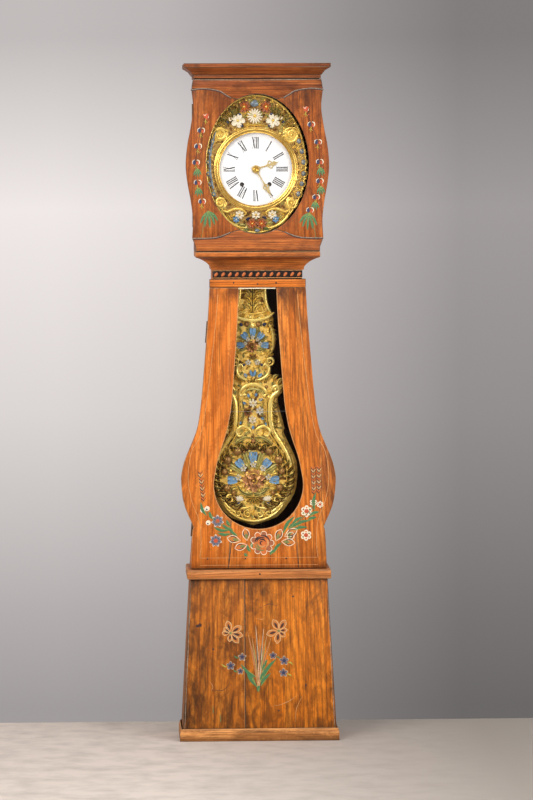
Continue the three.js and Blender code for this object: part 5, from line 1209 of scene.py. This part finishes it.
def buildPlinthPaint():
    art = Relief(plinthPaint["frontY"])
    foot = plinthPaint["foot"]
    # blades that part from one foot, each with two pale edges
    for tip, fill in plinthPaint["blades"]:
        middle = ((foot[0] + tip[0]) / 2 - (tip[0] - foot[0]) * 0.1, (foot[1] + tip[1]) / 2)
        art.stroke([foot, middle, tip], [1.4, 4.2, 1.0], fill, 12, 0.22)
        for side, paint in ((-2.6, "string"), (2.6, "cream" if fill == "brown" else "string")):
            path = [(foot[0] + side * 0.4, foot[1]), (middle[0] + side, middle[1]), tip]
            art.stroke(path, [0.8, 1.5, 0.8], paint, 12)
    for centre, turns in plinthPaint["stars"]:
        paintStar(art, centre, turns)
    for base, tip in plinthPaint["leaves"]:
        paintedLeaf(art, base, tip, 11, bend=0.08)
        vein(art, base, tip, 1.2)
    for x, z, size in plinthPaint["flowers"]:
        spot = (x, z)
        paintedFlower(art, spot, size, 5, "dusk", "navy")
        for k in range(5):
            turn = 90 + 72 * k
            lip = arc(spot, (size * 0.8, turn - 22), (size * 1.05, turn), (size * 0.8, turn + 22))
            art.stroke(lip, [0.8, 1.9, 0.8], "straw", 6, 0.4)
            art.stroke(arc(spot, (size * 0.35, turn), (size * 0.7, turn)), [1.4, 2.2], "brown", 3, 0.44)
        ends = arc(spot, (size * 0.9, 200 if x < 0 else -20), (size * 2.1, 170 if x < 0 else -25))
        paintedLeaf(art, *ends, 5, "lime" if x > 60 or x < -80 else "green")
    # joint, knots, scratches and stray dashes of green
    for x, widths, paint, height in ((-46.9, [1.6, 2.0, 1.6], "crack", 0.14), (-48.8, [0.8, 1.2, 0.8], "string", 0.18)):
        art.stroke([(x, 524), (x - 0.5, 300), (x + 0.3, 46)], widths, paint, 12, height)
    for x, z, wide, high in plinthPaint["knots"]:
        blot(art, (x, z), (wide, high), "brown", 0.2)
    for path, paint in plinthPaint["scratches"]:
        art.stroke(path, [0.6, 2.0, 0.6], paint, 12, 0.2)
    for x, z in plinthPaint["dashes"]:
        art.stroke([(x, z), (x + 1, z - 24)], [1.4, 2.6], "green", 4)
    # worn arris down the outer edges
    for sign in (-1, 1):
        path = [(sign * (221 + 25 * (1 - z / 524)), z) for z in range(40, 520, 40)]
        art.stroke(path, [1.0, 2.6, 1.2, 3.0, 1.4, 2.4, 1.0], "worn", 40, 0.2)
    art.finish("plinthPosy", "root", "pine")


buildHoodPaint()
buildTrunkPaint()
buildPlinthPaint()
print("folk painting done")


# rope twist, nails and laths from primitives

def joined(pieces, name, finish, body):
    bpy.ops.object.select_all(action="DESELECT")
    for piece in pieces:
        piece.select_set(True)
    bpy.context.view_layer.objects.active = pieces[0]
    bpy.ops.object.join()
    obj = bpy.context.active_object
    obj.name = name
    bpy.ops.object.transform_apply(location=True, rotation=True, scale=True)
    closeSkin(obj)
    giveMaterials(obj, [finishes[finish]])
    finishPiece(obj, body, 40)


def bead(place, size, turn=0.0):
    location, rotation = [c * mm for c in place], (0, math.radians(turn), 0)
    bpy.ops.mesh.primitive_uv_sphere_add(segments=12, ring_count=8, radius=1, location=location, rotation=rotation)
    obj = bpy.context.active_object
    obj.scale = [c * mm for c in size]
    return obj


def lath(low, high):
    bpy.ops.mesh.primitive_cube_add(size=1, location=[(a + b) / 2 * mm for a, b in zip(low, high)])
    obj = bpy.context.active_object
    obj.scale = [(b - a) * mm for a, b in zip(low, high)]
    return obj


rope = dict(count=13, half=146.0, height=1517.0, faceY=-70.6, bead=(5.6, 4.2, 11.0), lean=36, lines=(1505.6, 1529.2))
nails = dict(door=[(-167, 593), (-44, 593), (89, 593), (-78, 1490), (60, 1490), (0, 1486)], size=(2.6, 1.0, 2.6))


def buildRope():
    half, faceY = rope["half"], rope["faceY"]
    pitch = 2 * half / rope["count"]
    places = [(-half + pitch * (k + 0.5), faceY, rope["height"]) for k in range(rope["count"])]
    joined([bead(place, rope["bead"], rope["lean"]) for place in places], "ropeTwist", "orange", "root")
    laths = [lath((-half, faceY - 1.6, z - 1.1), (half, faceY + 1.0, z + 1.1)) for z in rope["lines"]]
    joined(laths, "ropeLaths", "string", "root")


def buildNails():
    joined([bead((x, -82.4, z), nails["size"]) for x, z in nails["door"]], "doorNails", "crack", "trunk_door")
    joined([bead((2, -111.0, 545), (3.2, 1.2, 3.0))], "waistNails", "crack", "root")
    joined([lath((-62, -82.0, 1470.2), (58, -77.5, 1473.4))], "windowLath", "cream", "trunk_door")
    joined([lath((-96, -68.5, 1070.7), (96, -68.1, 1071.3))], "paneJoint", "grey", "trunk_door")


buildRope()
buildNails()
print("rope, nails and laths set")


# the weights' lines, copied from the frame

lines = dict(travel=0.8, drumZ=1.809, merge=0.00001, smooth=50)


def buildLine(node):
    obj = copyOfNode(node, [finishes["line"]])
    closeSkin(obj, lines["merge"])
    finishPiece(obj, bodyOf[node], lines["smooth"])
    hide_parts(node)
    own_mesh(obj)


buildLine("going_line")
buildLine("strike_line")
print("lines hung")


# camera, floor, backdrop and light

view = dict(place=(-0.5, -14.637, 1.898), heading=2.095, pitch=2.02, roll=-0.258, focal=4491.7, sideways=-0.00156,
            shift=-0.106, frameHeight=800, sensor=36)


def buildCamera():
    camera = bpy.data.cameras.new("studioCamera")
    obj = bpy.data.objects.new("studioCamera", camera)
    bpy.context.scene.collection.objects.link(obj)
    heading, pitch, roll = [math.radians(view[key]) for key in ("heading", "pitch", "roll")]
    forward = Vector((math.sin(heading) * math.cos(pitch), math.cos(heading) * math.cos(pitch), -math.sin(pitch)))
    right = Vector((math.cos(heading), -math.sin(heading), 0))
    up = right.cross(forward)
    right, up = right * math.cos(roll) + up * math.sin(roll), up * math.cos(roll) - right * math.sin(roll)
    turn = Matrix((right, up, -forward)).transposed().to_4x4()
    turn.translation = Vector(view["place"])
    obj.matrix_world = turn
    camera.sensor_width = view["sensor"]
    camera.lens = view["focal"] * view["sensor"] / view["frameHeight"]
    camera.shift_x = view["sideways"]
    camera.shift_y = view["shift"]
    camera.clip_end = 60
    bpy.context.scene.camera = obj


stage = dict(
    wallY=0.43, halfWidth=3.2, height=5.5, wallPale="f0e9e8", wallPlain="b4b0ae", floorLeft="d3c7be",
    floorRight="9b938b", worldPale="e6e3e1", worldDark="948f8b", soft=0.42,
    sideways=[(0.17, 1.0), (0.35, 0.93), (0.67, 0.56), (0.85, 0.41)],
    upwards=[(0.02, 0.41), (0.15, 0.52), (0.42, 0.82), (0.69, 1.0), (0.92, 0.62)],
)


def seenBy(tree):
    # camera, mirror and glass rays see the painted backdrop, and light does not
    rays = tree.add("LightPath").outputs
    either = tree.calculate("MAXIMUM", rays["Is Camera Ray"], rays["Is Glossy Ray"])
    return tree.calculate("MAXIMUM", either, rays["Is Transmission Ray"])


def addPlane(name, size):
    bpy.ops.mesh.primitive_plane_add(size=size, location=(0, 0, 0))
    obj = bpy.context.active_object
    obj.name = name
    return obj


def buildFloor():
    obj = addPlane("floor", 30)
    floor = newShading("paleFloor")
    left, right = rgb(stage["floorLeft"]), rgb(stage["floorRight"])
    across = floor.add("SeparateXYZ", floor.place()).outputs["X"]
    # painted shade: the floor's colour darkens from left to right
    light = floor.mix(left, right, floor.reach(across, -0.35, 0.75))
    veins = floor.ramp(floor.noise(floor.place(), 9.0, 6.0, 0.6), (0.42, 0.0), (0.72, 0.5))
    floor.finish(Base_Color=floor.mix(light, right, veins), Roughness=0.85, Specular_IOR_Level=0.2)
    giveMaterials(obj, [floor.owner])
    return obj


def buildWall():
    obj = addPlane("backdrop", 1)
    for vertex in obj.data.vertices:
        x, z, _ = vertex.co
        vertex.co = (x * 2 * stage["halfWidth"], stage["wallY"], (z + 0.5) * stage["height"])
    wall = newShading("studioWall")
    wall.nodes.clear()
    axes = wall.add("SeparateXYZ", wall.place()).outputs
    # painted light: the backdrop glows for camera, mirror and glass rays, brightest to the left and at about 1.7 m,
    # darker to the right and near the floor
    sideways = wall.ramp(wall.reach(axes["X"], -1.0, 1.0), *stage["sideways"])
    upwards = wall.ramp(wall.reach(axes["Z"], 0.0, 2.5), *stage["upwards"])
    shaded = wall.mix(wall.mix(rgb(stage["wallPale"]), sideways, 1.0, "MULTIPLY"), upwards, 1.0, "MULTIPLY")
    painted = wall.add("Emission", shaded).outputs[0]
    plain = wall.add("BsdfDiffuse", rgb(stage["wallPlain"])).outputs[0]
    front = wall.add("MixShader", seenBy(wall), plain, painted).outputs[0]
    # open from behind, so that the clock's back can be looked at
    behind = wall.add("NewGeometry").outputs["Backfacing"]
    clear = wall.add("BsdfTransparent").outputs[0]
    wall.add("OutputMaterial", wall.add("MixShader", behind, front, clear).outputs[0])
    giveMaterials(obj, [wall.owner])
    return obj


def buildWorld():
    scene = bpy.context.scene
    scene.world = scene.world or bpy.data.worlds.new("studio")
    sky = Shading(scene.world)
    sky.nodes.clear()
    across = sky.add("SeparateXYZ", sky.add("TexCoord").outputs["Generated"]).outputs["X"]
    shaded = sky.mix(rgb(stage["worldPale"]), rgb(stage["worldDark"]), sky.reach(across, -0.5, 0.7))
    soft = sky.add("Background", (0.95, 0.96, 1.0, 1), stage["soft"]).outputs[0]
    seen = sky.add("Background", shaded, 1.0).outputs[0]
    sky.add("OutputWorld", sky.add("MixShader", seenBy(sky), soft, seen).outputs[0])


# place, aim, size, power and colour
lamps = {
    "keyLight": ((-2.4, -4.2, 3.6), (0, 0, 1.2), 2.6, 178.0, (1.0, 0.97, 0.92)),
    "fillLight": ((3.4, -3.6, 1.8), (0, 0, 1.1), 2.6, 70.0, (0.95, 0.97, 1.0)),
    "sideLight": ((1.6, -3.0, 1.5), (-0.05, 0, 1.0), 0.7, 17.0, (1.0, 0.98, 0.95)),
    "topLight": ((0.2, -1.4, 4.8), (0, 0, 1.6), 2.4, 60.0, (1.0, 1.0, 1.0)),
}


def buildLamps():
    for name, (place, aim, size, power, color) in lamps.items():
        lamp = bpy.data.lights.new(name, "AREA")
        lamp.size = size
        lamp.energy = power
        lamp.color = color
        obj = bpy.data.objects.new(name, lamp)
        obj.location = place
        obj.rotation_euler = (Vector(aim) - Vector(place)).to_track_quat("-Z", "Y").to_euler()
        bpy.context.scene.collection.objects.link(obj)


buildCamera()
buildFloor()
buildWall()
buildWorld()
buildLamps()
bpy.context.scene.view_settings.view_transform = "Standard"
print("camera, stage and light set")
